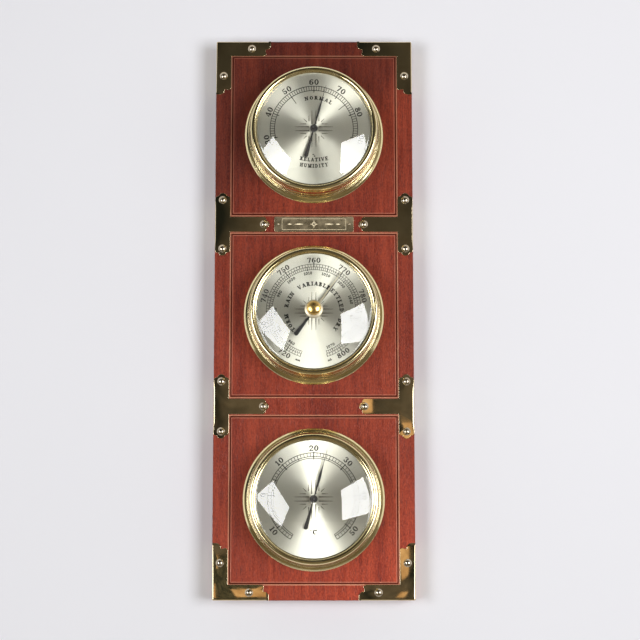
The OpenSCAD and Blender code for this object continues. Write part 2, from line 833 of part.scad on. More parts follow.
module bimetal_coil(i) {
    color(steel) at_dial(i) translate([0, 0, coil_mid_h - coil_w / 2]) linear_extrude(coil_w)
        spiral_2d(coil_start_r, coil_step, coil_turns, coil_t);
}

module vented_cup(i) {
    color(steel) at_dial(i) difference() {
        cup_blank();
        cup_rim_holes();
        ring_of(6, vent_ring_r) translate([0, 0, cup_floor_h - eps])
            cylinder(h = cup_wall + 2 * eps, r = vent_r);
    }
}

// A strap behind the dial, with a stud that holds the coil's outer end
module coil_bridge(i) {
    foot_l = 4;
    stud_x = coil_end_r + coil_t / 2 + slip_gap + coil_stud_r;
    color(brass) at_dial(i) difference() {
        translate([0, 0, bridge_h]) {
            translate([-bridge_half_l, -bridge_w / 2, 0]) cube([2 * bridge_half_l, bridge_w, bridge_t]);
            for (s = [0, 1]) mirror([s, 0, 0]) {
                translate([bridge_half_l - bridge_t, -bridge_w / 2, 0]) cube([bridge_t, bridge_w, bridge_d]);
                translate([bridge_half_l - bridge_t, -bridge_w / 2, bridge_d - bridge_t])
                    cube([foot_l, bridge_w, bridge_t]);
            }
            translate([stud_x, 0, 0]) cylinder(h = bridge_d / 2 + coil_w / 2, r = coil_stud_r);
        }
        translate([0, 0, bridge_h - eps]) cylinder(h = bridge_t + 2 * eps, r = pivot_r + run_gap);
    }
}

module coil_spindle(i) {
    collet_h = coil_w + 0.5;
    cap_r = spindle_r + 0.4;
    shoulder_h = bridge_h + bridge_t + touch_gap;
    color(steel) at_dial(i) {
        translate([0, 0, bridge_h - touch_gap]) cylinder(h = bridge_t + 3 * touch_gap, r = pivot_r);
        translate([0, 0, shoulder_h]) cylinder(h = pointer_hub_h - shoulder_h + eps, r = spindle_r);
        translate([0, 0, coil_mid_h - collet_h / 2]) cylinder(h = collet_h, r = collet_r);
        translate([0, 0, pointer_hub_h]) cylinder(h = spindle_top_h - pointer_hub_h, r = cap_r);
    }
}

// Bearing bushes of the two coil movements, riveted in their dials
module dial_bushes() {
    head_r = bush_r + 0.9;
    head_t = 0.8;
    front_h = 0.3;
    color(brass) for (i = [HYGROMETER, THERMOMETER]) at_dial(i) translate([0, 0, dial_h - dial_t - head_t]) {
        tube(head_r, spindle_r + run_gap, head_t);
        tube(bush_r, spindle_r + run_gap, head_t + dial_t + front_h);
    }
}

module hygrometer_case() { instrument_case(HYGROMETER); }
module hygrometer_back_cup() { vented_cup(HYGROMETER); }
module hygrometer_spacer_ring() { instrument_spacer_ring(HYGROMETER); }
module hygrometer_dial() { instrument_dial(HYGROMETER, bush_r + run_gap); }
module hygrometer_bridge() { coil_bridge(HYGROMETER); }
module hygrometer_coil() { bimetal_coil(HYGROMETER); }
module hygrometer_spindle() { coil_spindle(HYGROMETER); }
module hygrometer_pointer() {
    instrument_pointer(HYGROMETER, hygrometer_angle, hygrometer_tip_l, 1.5, 2.9);
}
module hygrometer_lens() { instrument_lens(HYGROMETER, 0); }
module hygrometer_bezel() { instrument_bezel(HYGROMETER); }

module thermometer_case() { instrument_case(THERMOMETER); }
module thermometer_back_cup() { vented_cup(THERMOMETER); }
module thermometer_spacer_ring() { instrument_spacer_ring(THERMOMETER); }
module thermometer_dial() { instrument_dial(THERMOMETER, bush_r + run_gap); }
module thermometer_bridge() { coil_bridge(THERMOMETER); }
module thermometer_coil() { bimetal_coil(THERMOMETER); }
module thermometer_spindle() { coil_spindle(THERMOMETER); }
module thermometer_pointer() {
    instrument_pointer(THERMOMETER, thermometer_angle, thermometer_tip_l, 1.9, 2.9);
}
module thermometer_lens() { instrument_lens(THERMOMETER, 0); }
module thermometer_bezel() { instrument_bezel(THERMOMETER); }

// Barometer

lens_bush_r = set_shaft_r + 1;
lens_bush_flange_r = set_shaft_r + 2;
lens_bush_flange_t = 0.4;
base_screw_ring_r = base_r - 4;
base_screw_r = 1.25;
spring_foot_x = capsule_r + 2;
spring_foot_l = 8;
spring_screw_r = 1.1;
spring_screw_y = spring_w / 4;
post_r = 1.2;
post_head_r = 2.2;
post_hole_r = post_r + free_gap;
adjust_head_r = adjust_r + 0.8;
adjust_head_gap = free_gap;
pillar_tenon_r = 1;
sector_arbor = [sector_x, rocker_y];
post_a = -8 * sector_arbor / train_distance;
post_b = [sector_x + 2.5, rocker_y + 4.3];
bridge_post_r = 1.3;
bridge_tenon_r = 0.7;
finger_x = sector_x + sector_tail_r - 0.85;
finger_w = 2;
finger_t = 0.8;
finger_y = rocker_y + sector_pin_r + touch_gap + slip_gap;
rocker_pin_drop = rocker_h - lever_pivot_h - lever_t / 2 - touch_gap - rocker_pin_r;
ear_t = frame_t;
lever_ear_x = 5.6;
rocker_ear_left_x = -3.6;
rocker_ear_right_x = sector_x + 4.6;
hairspring_start_r = spindle_r + 0.6 + slip_gap + 0.075;
hairspring_step = 0.75;
hairspring_turns = 5;
hairspring_t = 0.15;
hairspring_w = 0.8;
hairspring_stud_r = 0.5;
hairspring_stud_x = hairspring_start_r + hairspring_step * hairspring_turns + hairspring_t / 2
    + slip_gap + hairspring_stud_r;

module barometer_case() { instrument_case(BAROMETER); }
module barometer_spacer_ring() { instrument_spacer_ring(BAROMETER); }
module barometer_dial() { instrument_dial(BAROMETER, spindle_r + 1); }
module barometer_lens() { instrument_lens(BAROMETER, lens_bush_r + run_gap); }
module barometer_bezel() { instrument_bezel(BAROMETER); }
module barometer_pointer() {
    instrument_pointer(BAROMETER, barometer_angle, barometer_tip_l, 1.1, 3);
}

module barometer_back_cup() {
    color(steel) at_dial(BAROMETER) difference() {
        cup_blank();
        cup_rim_holes();
        ring_of(3, base_screw_ring_r, 0) translate([0, 0, cup_floor_h - eps])
            cylinder(h = cup_wall + 2 * eps, r = base_screw_r + slip_gap);
        translate([0, 0, cup_floor_h - eps]) cylinder(h = cup_wall + 2 * eps, r = adjust_head_r + free_gap);
    }
}

module barometer_base_plate() {
    color(brass) at_dial(BAROMETER) translate([0, 0, cup_inside_h]) difference() {
        cylinder(h = base_t, r = base_r);
        translate([0, 0, -eps]) {
            cylinder(h = base_t + 2 * eps, r = adjust_r + run_gap);
            ring_of(3, base_screw_ring_r, 0) cylinder(h = base_t + 2 * eps, r = base_screw_r + run_gap);
            for (s = [-1, 1]) translate([-spring_foot_x - spring_foot_l / 2, s * spring_screw_y, 0])
                cylinder(h = base_t + 2 * eps, r = spring_screw_r + run_gap);
        }
    }
}

module slotted_screw(r, l, head_r, head_h) {
    drive_w = 0.6;
    difference() {
        union() {
            cylinder(h = head_h, r = head_r);
            translate([0, 0, -l]) cylinder(h = l + eps, r = r);
        }
        translate([0, 0, head_h]) cube([3 * head_r, drive_w, head_h], center = true);
    }
}

module barometer_base_screws() {
    head_h = 1.2;
    color(steel) at_dial(BAROMETER) ring_of(3, base_screw_ring_r, 0)
        translate([0, 0, cup_floor_h]) mirror([0, 0, 1])
            slotted_screw(base_screw_r, cup_wall + base_t - touch_gap, 2.2, head_h);
}

module barometer_adjusting_screw() {
    head_h = cup_wall + 0.7;
    color(brass) at_dial(BAROMETER) translate([0, 0, cup_inside_h - touch_gap]) mirror([0, 0, 1])
        slotted_screw(adjust_r, base_t, adjust_head_r, head_h);
}

// Skin of the capsule: shallow rings of waves between the stud and the rim
function skin_h(r, level) = level + wave_h * cos(360 * (r - capsule_r / 4) / (capsule_r / 5));

module barometer_capsule() {
    steps = 60;
    wave_in_r = capsule_r / 4;
    wave_out_r = capsule_r * 0.9;
    radii = [for (k = [0 : steps]) wave_in_r + (wave_out_r - wave_in_r) * k / steps];
    rim_t = 1;
    mid_h = (capsule_bottom_h + capsule_top_h) / 2;
    stud_r = adjust_r + 1.2;
    color([0.72, 0.70, 0.64]) at_dial(BAROMETER) {
        rotate_extrude() {
            polygon(concat(
                [[0, capsule_top_h], [wave_in_r, capsule_top_h]],
                [for (r = radii) [r, skin_h(r, capsule_top_h - wave_h)]],
                [[capsule_r, mid_h + rim_t / 2], [capsule_r, mid_h - rim_t / 2]],
                [for (k = [steps : -1 : 0]) [radii[k], 2 * mid_h - skin_h(radii[k], capsule_top_h - wave_h)]],
                [[wave_in_r, capsule_bottom_h], [0, capsule_bottom_h]]
            ));
            translate([0, base_top_h]) square([stud_r, capsule_bottom_h - base_top_h + eps]);
            translate([0, capsule_top_h - eps]) square([post_r, spring_h + spring_t - capsule_top_h + 2 * eps]);
            translate([0, spring_h + spring_t]) square([post_head_r, post_head_t]);
        }
        translate([0, 0, nipple_h - nipple_r]) sphere(nipple_r);
    }
}

// A bent leaf that holds the capsule open: foot, riser and leaf over the capsule
module barometer_main_spring() {
    leaf_end = 5;
    riser_x = -spring_foot_x;
    color(steel) at_dial(BAROMETER) difference() {
        rotate([90, 0, 0]) linear_extrude(spring_w, center = true) polygon([
            [riser_x - spring_foot_l, base_top_h], [riser_x + spring_t, base_top_h], [riser_x + spring_t, spring_h],
            [leaf_end, spring_h], [leaf_end, spring_h + spring_t], [riser_x, spring_h + spring_t],
            [riser_x, base_top_h + spring_t], [riser_x - spring_foot_l, base_top_h + spring_t]
        ]);
        translate([0, 0, spring_h - eps]) cylinder(h = spring_t + 2 * eps, r = post_hole_r);
        for (s = [-1, 1]) translate([riser_x - spring_foot_l / 2, s * spring_screw_y, base_top_h - eps])
            cylinder(h = spring_t + 2 * eps, r = spring_screw_r + slip_gap);
    }
}

module barometer_spring_screws() {
    color(steel) at_dial(BAROMETER) for (s = [-1, 1])
        translate([-spring_foot_x - spring_foot_l / 2, s * spring_screw_y, base_top_h + spring_t])
            slotted_screw(spring_screw_r, spring_t + base_t - touch_gap, 1.8, 1.1);
}

module at_pillars() {
    ring_of(4, pillar_ring_r, 45) children();
}

module barometer_pillars() {
    rivet_h = 0.4;
    color(brass) at_dial(BAROMETER) at_pillars() {
        translate([0, 0, base_top_h]) cylinder(h = frame_h - base_top_h, r = pillar_r);
        translate([0, 0, frame_h - eps]) cylinder(h = frame_t + rivet_h + eps, r = pillar_tenon_r);
    }
}

// A bent-down ear of the frame with a bearing hole along x
module frame_ear(x, y, pivot_h) {
    ear_w = 4;
    below = 2;
    translate([x, y, 0]) difference() {
        translate([0, -ear_w / 2, pivot_h - below]) cube([ear_t, ear_w, frame_h - pivot_h + below + eps]);
        translate([-eps, 0, pivot_h]) rotate([0, 90, 0]) cylinder(h = ear_t + 2 * eps, r = arbor_r + run_gap);
    }
}

module frame_outline_2d() {
    corner = pillar_ring_r * cos(45);
    pad_r = pillar_r + 1;
    side_w = 6;
    for (s = [-1, 1]) {
        bar_2d([s * corner, -corner], [s * corner, corner], 2 * pad_r);
        bar_2d([-corner, s * corner], [corner, s * corner], side_w - 1);
    }
    bar_2d([-corner, 0], [corner, 0], frame_cross_w);
    bar_2d([0, lever_pivot_y], [0, rocker_y], frame_spine_w);
    bar_2d([0, rocker_y], [corner, rocker_y], frame_arm_w);
}

module barometer_frame() {
    finger_room = 1.3;
    color(brass) at_dial(BAROMETER) {
        difference() {
            translate([0, 0, frame_h]) linear_extrude(frame_t) difference() {
                frame_outline_2d();
                at_pillars() circle(pillar_tenon_r + run_gap);
                circle(pivot_r + run_gap);
                translate(sector_arbor) circle(pivot_r + run_gap);
                translate([finger_x - free_gap, finger_y - finger_room])
                    square([finger_w + 2 * free_gap, finger_t + 2 * finger_room]);
            }
        }
        for (s = [0, 1]) mirror([s, 0, 0]) frame_ear(lever_ear_x, lever_pivot_y, lever_pivot_h);
        frame_ear(rocker_ear_left_x, rocker_y, rocker_h);
        frame_ear(rocker_ear_right_x, rocker_y, rocker_h);
        for (p = [post_a, post_b]) translate([p[0], p[1], frame_h + frame_t - eps]) {
            cylinder(h = train_top_h - frame_t - frame_h - frame_t + eps, r = bridge_post_r);
            cylinder(h = train_top_h - frame_h - frame_t + free_gap + eps, r = bridge_tenon_r);
        }
        translate([hairspring_stud_x, 0, frame_h + frame_t - eps])
            cylinder(h = hairspring_h - frame_h - frame_t + hairspring_w + free_gap, r = hairspring_stud_r);
    }
}

module barometer_bridge() {
    bar_w = 4;
    pad_r = 2.5;
    color(brass) at_dial(BAROMETER) translate([0, 0, train_top_h - frame_t]) linear_extrude(frame_t)
        difference() {
            union() {
                strip_2d(post_a, sector_arbor, bar_w);
                strip_2d(sector_arbor, post_b, bar_w);
                for (p = [post_a, [0, 0], sector_arbor, post_b]) translate(p) circle(pad_r);
            }
            circle(spindle_r + run_gap);
            translate(sector_arbor) circle(pivot_r + run_gap);
            for (p = [post_a, post_b]) translate(p) circle(bridge_tenon_r + run_gap);
        }
}

// Rocks about x on its arbor, between the capsule's nipple and the rocker's pin
module barometer_lever() {
    half_w = 1.5;
    arbor_l = 2 * (lever_ear_x + ear_t + free_gap);
    color(brass) at_dial(BAROMETER) translate([0, lever_pivot_y, lever_pivot_h]) rotate([lever_angle, 0, 0]) {
        translate([0, 0, -lever_t / 2]) linear_extrude(lever_t)
            bar_2d([0, -1], [0, lever_reach], 2 * half_w);
        rotate([0, 90, 0]) cylinder(h = arbor_l, r = arbor_r, center = true);
    }
}

// A shaft along x with an arm down to the lever and a finger up to the sector
module barometer_rocker() {
    left_x = rocker_ear_left_x - free_gap;
    right_x = rocker_ear_right_x + ear_t + free_gap;
    arm_t = 1.2;
    pin_l = 2.4;
    hub_r = 1.3;
    root_half = arbor_r + 0.3;
    pin = [rocker_reach, -rocker_pin_drop];
    color(brass) at_dial(BAROMETER) translate([0, rocker_y, rocker_h]) rotate([rocker_angle, 0, 0]) {
        translate([left_x, 0, 0]) rotate([0, 90, 0]) cylinder(h = right_x - left_x, r = arbor_r);
        rotate([90, 0, 90]) linear_extrude(arm_t, center = true) {
            bar_2d([0, 0], pin, 1.6 * rocker_pin_r);
            circle(hub_r);
        }
        translate([0, pin[0], pin[1]]) rotate([0, 90, 0]) cylinder(h = pin_l, r = rocker_pin_r, center = true);
        translate([finger_x, finger_y - rocker_y, 0])
            cube([finger_w, finger_t, sector_h - free_gap - rocker_h]);
        translate([finger_x, -root_half, -root_half])
            cube([finger_w, finger_y - rocker_y + finger_t + root_half, 2 * root_half]);
    }
}

// Involute teeth

pressure_angle = 20;
tooth_thinning = 0.05;
function involute(a) = tan(a) * 180 / PI - a;
function tooth_half(r, z) =
    let (pitch_r = gear_module * z / 2, base_r_z = pitch_r * cos(pressure_angle))
    90 / z - tooth_thinning / pitch_r * 90 / PI + involute(pressure_angle)
        - involute(acos(min(1, base_r_z / max(r, base_r_z))));

// One tooth on +x, rooted a little inside the root circle
module tooth_2d(z, root_r, tip_r) {
    steps = 5;
    radii = concat([root_r - 0.2], [for (k = [0 : steps]) root_r + (tip_r - root_r) * k / steps]);
    polygon(concat(
        [for (r = radii) r * [cos(tooth_half(r, z)), -sin(tooth_half(r, z))]],
        [for (k = [len(radii) - 1 : -1 : 0])
            let (r = radii[k]) r * [cos(tooth_half(r, z)), sin(tooth_half(r, z))]]
    ));
}

module pinion_2d() {
    root_r = pinion_pitch_r - 1.25 * gear_module;
    tip_r = pinion_pitch_r + gear_module;
    circle(root_r);
    for (k = [0 : pinion_teeth - 1]) rotate((k + 0.5) * 360 / pinion_teeth) tooth_2d(pinion_teeth, root_r, tip_r);
}

sector_root_r = sector_pitch_r - 1.25 * gear_module;
sector_tip_r = sector_pitch_r + 0.6 * gear_module;
sector_half = (sector_teeth / 2) * 360 / sector_circle_teeth;
to_pinion = atan2(-rocker_y, -sector_x);

// A toothed rim on two spokes, with its middle tooth on +x, and a tail bent round to the rocker's finger
module sector_2d() {
    rim_w = 1.7;
    spoke_w = 1.6;
    hub_r = 1.8;
    tail = sector_tail_r * [cos(-to_pinion), sin(-to_pinion)];
    intersection() {
        difference() {
            circle(sector_root_r, $fn = 128);
            circle(sector_root_r - rim_w, $fn = 128);
        }
        polygon([
            [0, 0], 2 * sector_root_r * [cos(sector_half), -sin(sector_half)],
            2 * sector_root_r * [1, 0], 2 * sector_root_r * [cos(sector_half), sin(sector_half)]
        ]);
    }
    for (k = [0 : sector_teeth - 1])
        rotate((k - (sector_teeth - 1) / 2) * 360 / sector_circle_teeth)
            tooth_2d(sector_circle_teeth, sector_root_r, sector_tip_r);
    for (s = [-1, 1]) rotate(s * (sector_half - 5))
        bar_2d([0, 0], [sector_root_r - rim_w / 2, 0], spoke_w);
    circle(hub_r);
    bar_2d([0, 0], tail, 2 * sector_pin_r + 0.8);
}

module barometer_sector() {
    arbor_bottom_h = frame_h + touch_gap;
    shoulder_h = frame_h + frame_t + touch_gap;
    top_h = train_top_h - frame_t - touch_gap;
    color(brass) at_dial(BAROMETER) translate([sector_x, rocker_y, 0]) {
        rotate(to_pinion + sector_angle) translate([0, 0, sector_h]) linear_extrude(sector_t) sector_2d();
        rotate(sector_angle) translate([sector_tail_r, 0, sector_h - sector_pin_l])
            cylinder(h = sector_pin_l + sector_t / 2, r = sector_pin_r);
        translate([0, 0, shoulder_h]) cylinder(h = top_h - shoulder_h, r = arbor_r);
        translate([0, 0, arbor_bottom_h]) cylinder(h = train_top_h - touch_gap - arbor_bottom_h, r = pivot_r);
    }
}

module barometer_spindle() {
    pinion_t = sector_t + 1;
    collet_h = hairspring_w + 0.6;
    hairspring_collet_r = hairspring_start_r - hairspring_t / 2 - slip_gap;
    shoulder_h = frame_h + frame_t + touch_gap;
    cap_r = spindle_r + 0.4;
    color(steel) at_dial(BAROMETER) {
        translate([0, 0, frame_h + touch_gap]) cylinder(h = frame_t + touch_gap, r = pivot_r);
        translate([0, 0, shoulder_h]) cylinder(h = pointer_hub_h - shoulder_h + eps, r = spindle_r);
        translate([0, 0, hairspring_h - free_gap]) cylinder(h = collet_h, r = hairspring_collet_r);
        translate([0, 0, sector_h - sector_t / 2]) rotate(to_pinion + 180 - barometer_angle)
            linear_extrude(pinion_t) pinion_2d();
        translate([0, 0, pointer_hub_h]) cylinder(h = spindle_top_h - pointer_hub_h, r = cap_r);
    }
}

module barometer_hairspring() {
    color(steel) at_dial(BAROMETER) translate([0, 0, hairspring_h]) linear_extrude(hairspring_w)
        spiral_2d(hairspring_start_r, hairspring_step, hairspring_turns, hairspring_t);
}

// The set hand and its knob turn together in a bush through the lens

bush_under_h = dome_top_h - lens_t;
set_hand_t = 0.3;
set_hub_r = 1.8;
set_hub_bottom_h = set_hand_h - set_hand_t;
knob_h = dome_top_h + lens_bush_flange_t + free_gap;

module barometer_lens_bush() {
    sag = dome_r - sqrt(pow(dome_r, 2) - pow(lens_bush_flange_r, 2));
    under_h = bush_under_h - sag - run_gap;
    color(brass) at_dial(BAROMETER) {
        translate([0, 0, under_h - lens_bush_flange_t])
            tube(lens_bush_r, set_shaft_r + run_gap, dome_top_h + 2 * lens_bush_flange_t - under_h);
        translate([0, 0, under_h - lens_bush_flange_t])
            tube(lens_bush_flange_r, set_shaft_r + run_gap, lens_bush_flange_t);
        translate([0, 0, dome_top_h]) tube(lens_bush_flange_r, set_shaft_r + run_gap, lens_bush_flange_t);
    }
}

module barometer_set_hand() {
    root_w = 1.7;
    tip_w = 0.4;
    hub_top_h = bush_under_h - lens_bush_flange_t - free_gap - 2 * slip_gap;
    color(brass) at_dial(BAROMETER) rotate(-set_hand_angle) difference() {
        union() {
            translate([0, 0, set_hand_h]) rotate([-set_hand_droop, 0, 0]) linear_extrude(set_hand_t)
                polygon([[-root_w / 2, 0], [-tip_w / 2, set_hand_l], [tip_w / 2, set_hand_l], [root_w / 2, 0]]);
            translate([0, 0, set_hub_bottom_h]) cylinder(h = hub_top_h - set_hub_bottom_h, r = set_hub_r);
        }
        translate([0, 0, set_hub_bottom_h - eps]) cylinder(h = hub_top_h, r = set_shaft_r + run_gap / 2);
    }
}

// The knob's head: a half ball under its widest ring, a rounded rim and a flatter dome in front
module knob_head_2d() {
    rim_in = knob_head_r - knob_rim_r;
    dome_down = sqrt(pow(knob_front_r - knob_rim_r, 2) - pow(rim_in, 2));
    meet_r = rim_in * knob_front_r / (knob_front_r - knob_rim_r);
    intersection() {
        circle(knob_head_r);
        translate([0, -knob_head_r]) square(knob_head_r);
    }
    translate([rim_in, 0]) circle(knob_rim_r);
    intersection() {
        translate([0, -dome_down]) circle(knob_front_r);
        square([meet_r, knob_front_r]);
    }
}

module barometer_set_knob() {
    neck_r = set_shaft_r + 1.6;
    head_h = knob_h + knob_collar_t + knob_head_r - 0.7;
    edge = knob_collar_t / 3;
    color(brass) at_dial(BAROMETER) {
        translate([0, 0, set_hub_bottom_h]) cylinder(h = knob_h - set_hub_bottom_h + eps, r = set_shaft_r);
        rotate_extrude() {
            polygon([
                [0, knob_h], [knob_collar_r - edge, knob_h], [knob_collar_r, knob_h + edge],
                [knob_collar_r - edge, knob_h + 2 * edge], [neck_r, knob_h + knob_collar_t], [0, knob_h + knob_collar_t]
            ]);
            translate([0, knob_h + knob_collar_t - eps]) square([neck_r, knob_head_r / 2]);
            translate([0, head_h]) knob_head_2d();
        }
    }
}

backboard();
corner_plate_top_left();
corner_plate_top_right();
corner_plate_bottom_left();
corner_plate_bottom_right();
side_plate_upper_left();
side_plate_upper_right();
side_plate_lower_left();
side_plate_lower_right();
plate_nails();
name_plate();
name_plate_pins();
hanger_plate();
hanger_screws();
case_screws();
dial_bushes();
hygrometer_case();
hygrometer_back_cup();
hygrometer_spacer_ring();
hygrometer_dial();
hygrometer_bridge();
hygrometer_coil();
hygrometer_spindle();
hygrometer_pointer();
hygrometer_lens();
hygrometer_bezel();
barometer_case();
barometer_back_cup();
barometer_spacer_ring();
barometer_dial();
barometer_base_plate();
barometer_base_screws();
barometer_adjusting_screw();
barometer_capsule();
barometer_main_spring();
barometer_spring_screws();
barometer_pillars();
barometer_frame();
barometer_bridge();
barometer_lever();
barometer_rocker();
barometer_sector();
barometer_spindle();
barometer_hairspring();
barometer_pointer();
barometer_set_hand();
barometer_set_knob();
barometer_lens_bush();
barometer_lens();
barometer_bezel();
thermometer_case();
thermometer_back_cup();
thermometer_spacer_ring();
thermometer_dial();
thermometer_bridge();
thermometer_coil();
thermometer_spindle();
thermometer_pointer();
thermometer_lens();
thermometer_bezel();
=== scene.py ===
"""Visual model of a wall weather station: hygrometer, aneroid barometer and thermometer on one board."""

import math

import bmesh
import bpy
from mathutils import Matrix, Vector


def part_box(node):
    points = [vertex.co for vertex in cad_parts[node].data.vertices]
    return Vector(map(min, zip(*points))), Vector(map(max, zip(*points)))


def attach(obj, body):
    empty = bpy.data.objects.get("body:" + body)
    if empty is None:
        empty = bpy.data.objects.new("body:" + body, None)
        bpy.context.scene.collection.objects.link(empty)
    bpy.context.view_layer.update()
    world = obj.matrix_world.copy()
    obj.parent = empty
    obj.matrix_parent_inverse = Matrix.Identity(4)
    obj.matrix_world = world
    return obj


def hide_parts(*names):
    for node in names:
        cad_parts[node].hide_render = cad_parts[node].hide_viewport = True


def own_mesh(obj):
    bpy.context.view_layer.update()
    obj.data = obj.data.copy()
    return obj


bl_info = {
    "name": "Wall barometer",
    "version": (1, 0, 0),
    "blender": (4, 5, 0),
    "location": "View3D > Sidebar > Barometer",
    "description": "Dresses the packed wall barometer with brass, mahogany, glass and printed dials",
    "category": "Add Mesh",
}

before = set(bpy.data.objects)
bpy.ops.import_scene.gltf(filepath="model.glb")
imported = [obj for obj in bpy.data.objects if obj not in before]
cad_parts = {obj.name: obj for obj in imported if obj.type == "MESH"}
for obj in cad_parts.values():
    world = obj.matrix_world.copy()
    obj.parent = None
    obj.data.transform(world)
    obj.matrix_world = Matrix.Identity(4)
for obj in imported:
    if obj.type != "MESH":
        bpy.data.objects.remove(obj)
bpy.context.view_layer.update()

# Places in metres, from the frame

MM = 0.001
NAMES = ("hygrometer", "barometer", "thermometer")
board_low, board_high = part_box("backboard")
FACE_Y = board_low.y


def dial_middle(name):
    low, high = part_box(name + "_dial")
    return (low.z + high.z) / 2


def seat_at(z):
    """Millimetres on the board's face at that height: x right, y up, z towards the viewer."""
    return Matrix.Translation((0, FACE_Y, z)) @ Matrix.Rotation(math.pi / 2, 4, "X") @ Matrix.Scale(MM, 4)


PITCH = dial_middle("hygrometer") - dial_middle("barometer")
DIAL_SEAT = {name: seat_at(dial_middle(name)) for name in NAMES}
NAME_SEAT = seat_at(sum(corner.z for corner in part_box("name_plate")) / 2)
FIELD_HALF_W = 0.0602
FIELD_HALF_H = 0.0595
GROOVE_BACK_Y = FACE_Y + 0.0025

# Radii and heights over the board's face in millimetres, shared by the turned pieces

GLASS_T = 1.8
POCKET_R = 37
LIP_R = 41.4
GLASS_R = 43.75
BARREL_IN_R = 43.8
BARREL_R = 45
FLANGE_R = 51
DIAL_H = (FACE_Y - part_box("hygrometer_dial")[0].y) / MM
RIM_H = DIAL_H + GLASS_T
INK_LOW = DIAL_H - 0.01
INK_HIGH = DIAL_H + 0.03


# Sizes and colours

DAYLIGHT = (0.99, 0.995, 1.0)


def colour_value(name, description, default):
    return bpy.props.FloatVectorProperty(
        name=name, description=description, subtype="COLOR", size=3, min=0, max=1, default=default)


def length_value(name, description, low, high, default):
    return bpy.props.FloatProperty(
        name=name, description=description, unit="LENGTH", min=low, max=high, default=default)


def lamp_value(name, description, default):
    return bpy.props.FloatProperty(
        name=name, description=description, subtype="POWER", min=0, max=100, default=default)


class BoardSettings(bpy.types.PropertyGroup):
    heart: colour_value("Heartwood", "Dark colour of the stained grain", (0.25, 0.0215, 0.008))
    bloom: colour_value("Lit grain", "Light colour of the stained grain", (0.59, 0.084, 0.032))
    pore_depth: length_value("Pore depth", "Depth of the open pores under the lacquer", 0, 0.001, 0.00006)


class BrassSettings(bpy.types.PropertyGroup):
    edge_round: length_value("Edge round", "Rounding of the stamped plates' edges", 0.00005, 0.0005, 0.0002)
    fold_round: length_value(
        "Fold round", "Rounding where a plate is folded over the board's edge", 0.0004, 0.0015, 0.0011)
    polished: colour_value("Polished brass", "Colour of bezels and cases", (0.82, 0.71, 0.42))
    plain: colour_value("Plate brass", "Colour of the corner, side and name plates", (0.80, 0.68, 0.46))
    nail_radius: length_value("Nail head", "Radius of a domed nail's head", 0.001, 0.004, 0.0029)


class DialSettings(bpy.types.PropertyGroup):
    silver: colour_value("Dial silver", "Colour of the silvered dials", (0.54, 0.525, 0.45))
    print_colour: colour_value("Print", "Colour of ticks, numbers and words", (0.012, 0.011, 0.010))
    number_height: length_value("Number height", "Height of the large numbers", 0.001, 0.006, 0.0041)
    tick_width: length_value("Tick width", "Width of a printed tick", 0.00005, 0.001, 0.00048)


class StageSettings(bpy.types.PropertyGroup):
    wall_colour: colour_value("Wall", "Colour of the painted wall", (0.865, 0.872, 0.935))
    sky: bpy.props.FloatProperty(
        name="Room light", description="Strength of the even light of the room", min=0, max=2, default=0.80)
    right_lamp: lamp_value("Right soft box", "Power of the soft box on the right", 18.9)
    left_lamp: lamp_value("Left soft box", "Power of the soft box on the left", 15.2)


def settings(name):
    return getattr(bpy.context.scene, "barometer_" + name)


def new_object(name, data):
    made = bpy.data.objects.new(name, data)
    bpy.context.scene.collection.objects.link(made)
    return made


# Building a mesh from points in millimetres


class Shape:
    """Points and faces in millimetres, gathered before they become one mesh."""

    def __init__(self):
        self.points = []
        self.faces = []

    def add(self, points, faces):
        first = len(self.points)
        self.points.extend(points)
        self.faces.extend(tuple(first + k for k in face) for face in faces)

    def prism(self, outline, low, high):
        n = len(outline)
        points = [(x, y, low) for x, y in outline] + [(x, y, high) for x, y in outline]
        sides = [(k, (k + 1) % n, n + (k + 1) % n, n + k) for k in range(n)]
        self.add(points, [tuple(range(n - 1, -1, -1)), tuple(range(n, 2 * n))] + sides)

    def mark(self, outline):
        """A form printed on a dial."""
        self.prism(outline, INK_LOW, INK_HIGH)

    def lathe(self, outline, steps, closed=True):
        """Turns an outline of (radius, height) round the axis."""
        rings = []
        points = []
        for r, h in outline:
            count = 1 if r < 1e-6 else steps
            rings.append(range(len(points), len(points) + count))
            for k in range(count):
                turn = 2 * math.pi * k / steps
                points.append((r * math.cos(turn), r * math.sin(turn), h))
        pairs = list(zip(rings, rings[1:]))
        if closed:
            pairs.append((rings[-1], rings[0]))
        faces = []
        for low, high in pairs:
            for k in range(steps):
                corners = (low[k % len(low)], low[(k + 1) % steps % len(low)],
                           high[(k + 1) % steps % len(high)], high[k % len(high)])
                face = tuple(dict.fromkeys(corners))
                if len(face) > 2:
                    faces.append(face)
        self.add(points, faces)

    def mesh(self, name, seat):
        made = bpy.data.meshes.new(name)
        made.from_pydata(self.points, [], self.faces)
        made.transform(seat)
        return made


def arc(centre, radius, start, end, steps):
    """Points on an arc in an outline, with angles in degrees from +x."""
    turns = [math.radians(start + (end - start) * k / steps) for k in range(steps + 1)]
    return [(centre[0] + radius * math.cos(t), centre[1] + radius * math.sin(t)) for t in turns]


def level_normals(mesh):
    """Turns each corner's normal towards the larger faces within 50 degrees, so that flats stay flat."""
    alike = 0.64
    near = [[] for _ in mesh.vertices]
    for face in mesh.polygons:
        for corner in face.vertices:
            near[corner].append((face.normal.copy(), face.area))
    normals = []
    for face in mesh.polygons:
        for corner in face.vertices:
            total = Vector()
            for normal, area in near[corner]:
                if normal.dot(face.normal) > alike:
                    total += normal * area
            normals.append(total.normalized())
    mesh.normals_split_custom_set(normals)


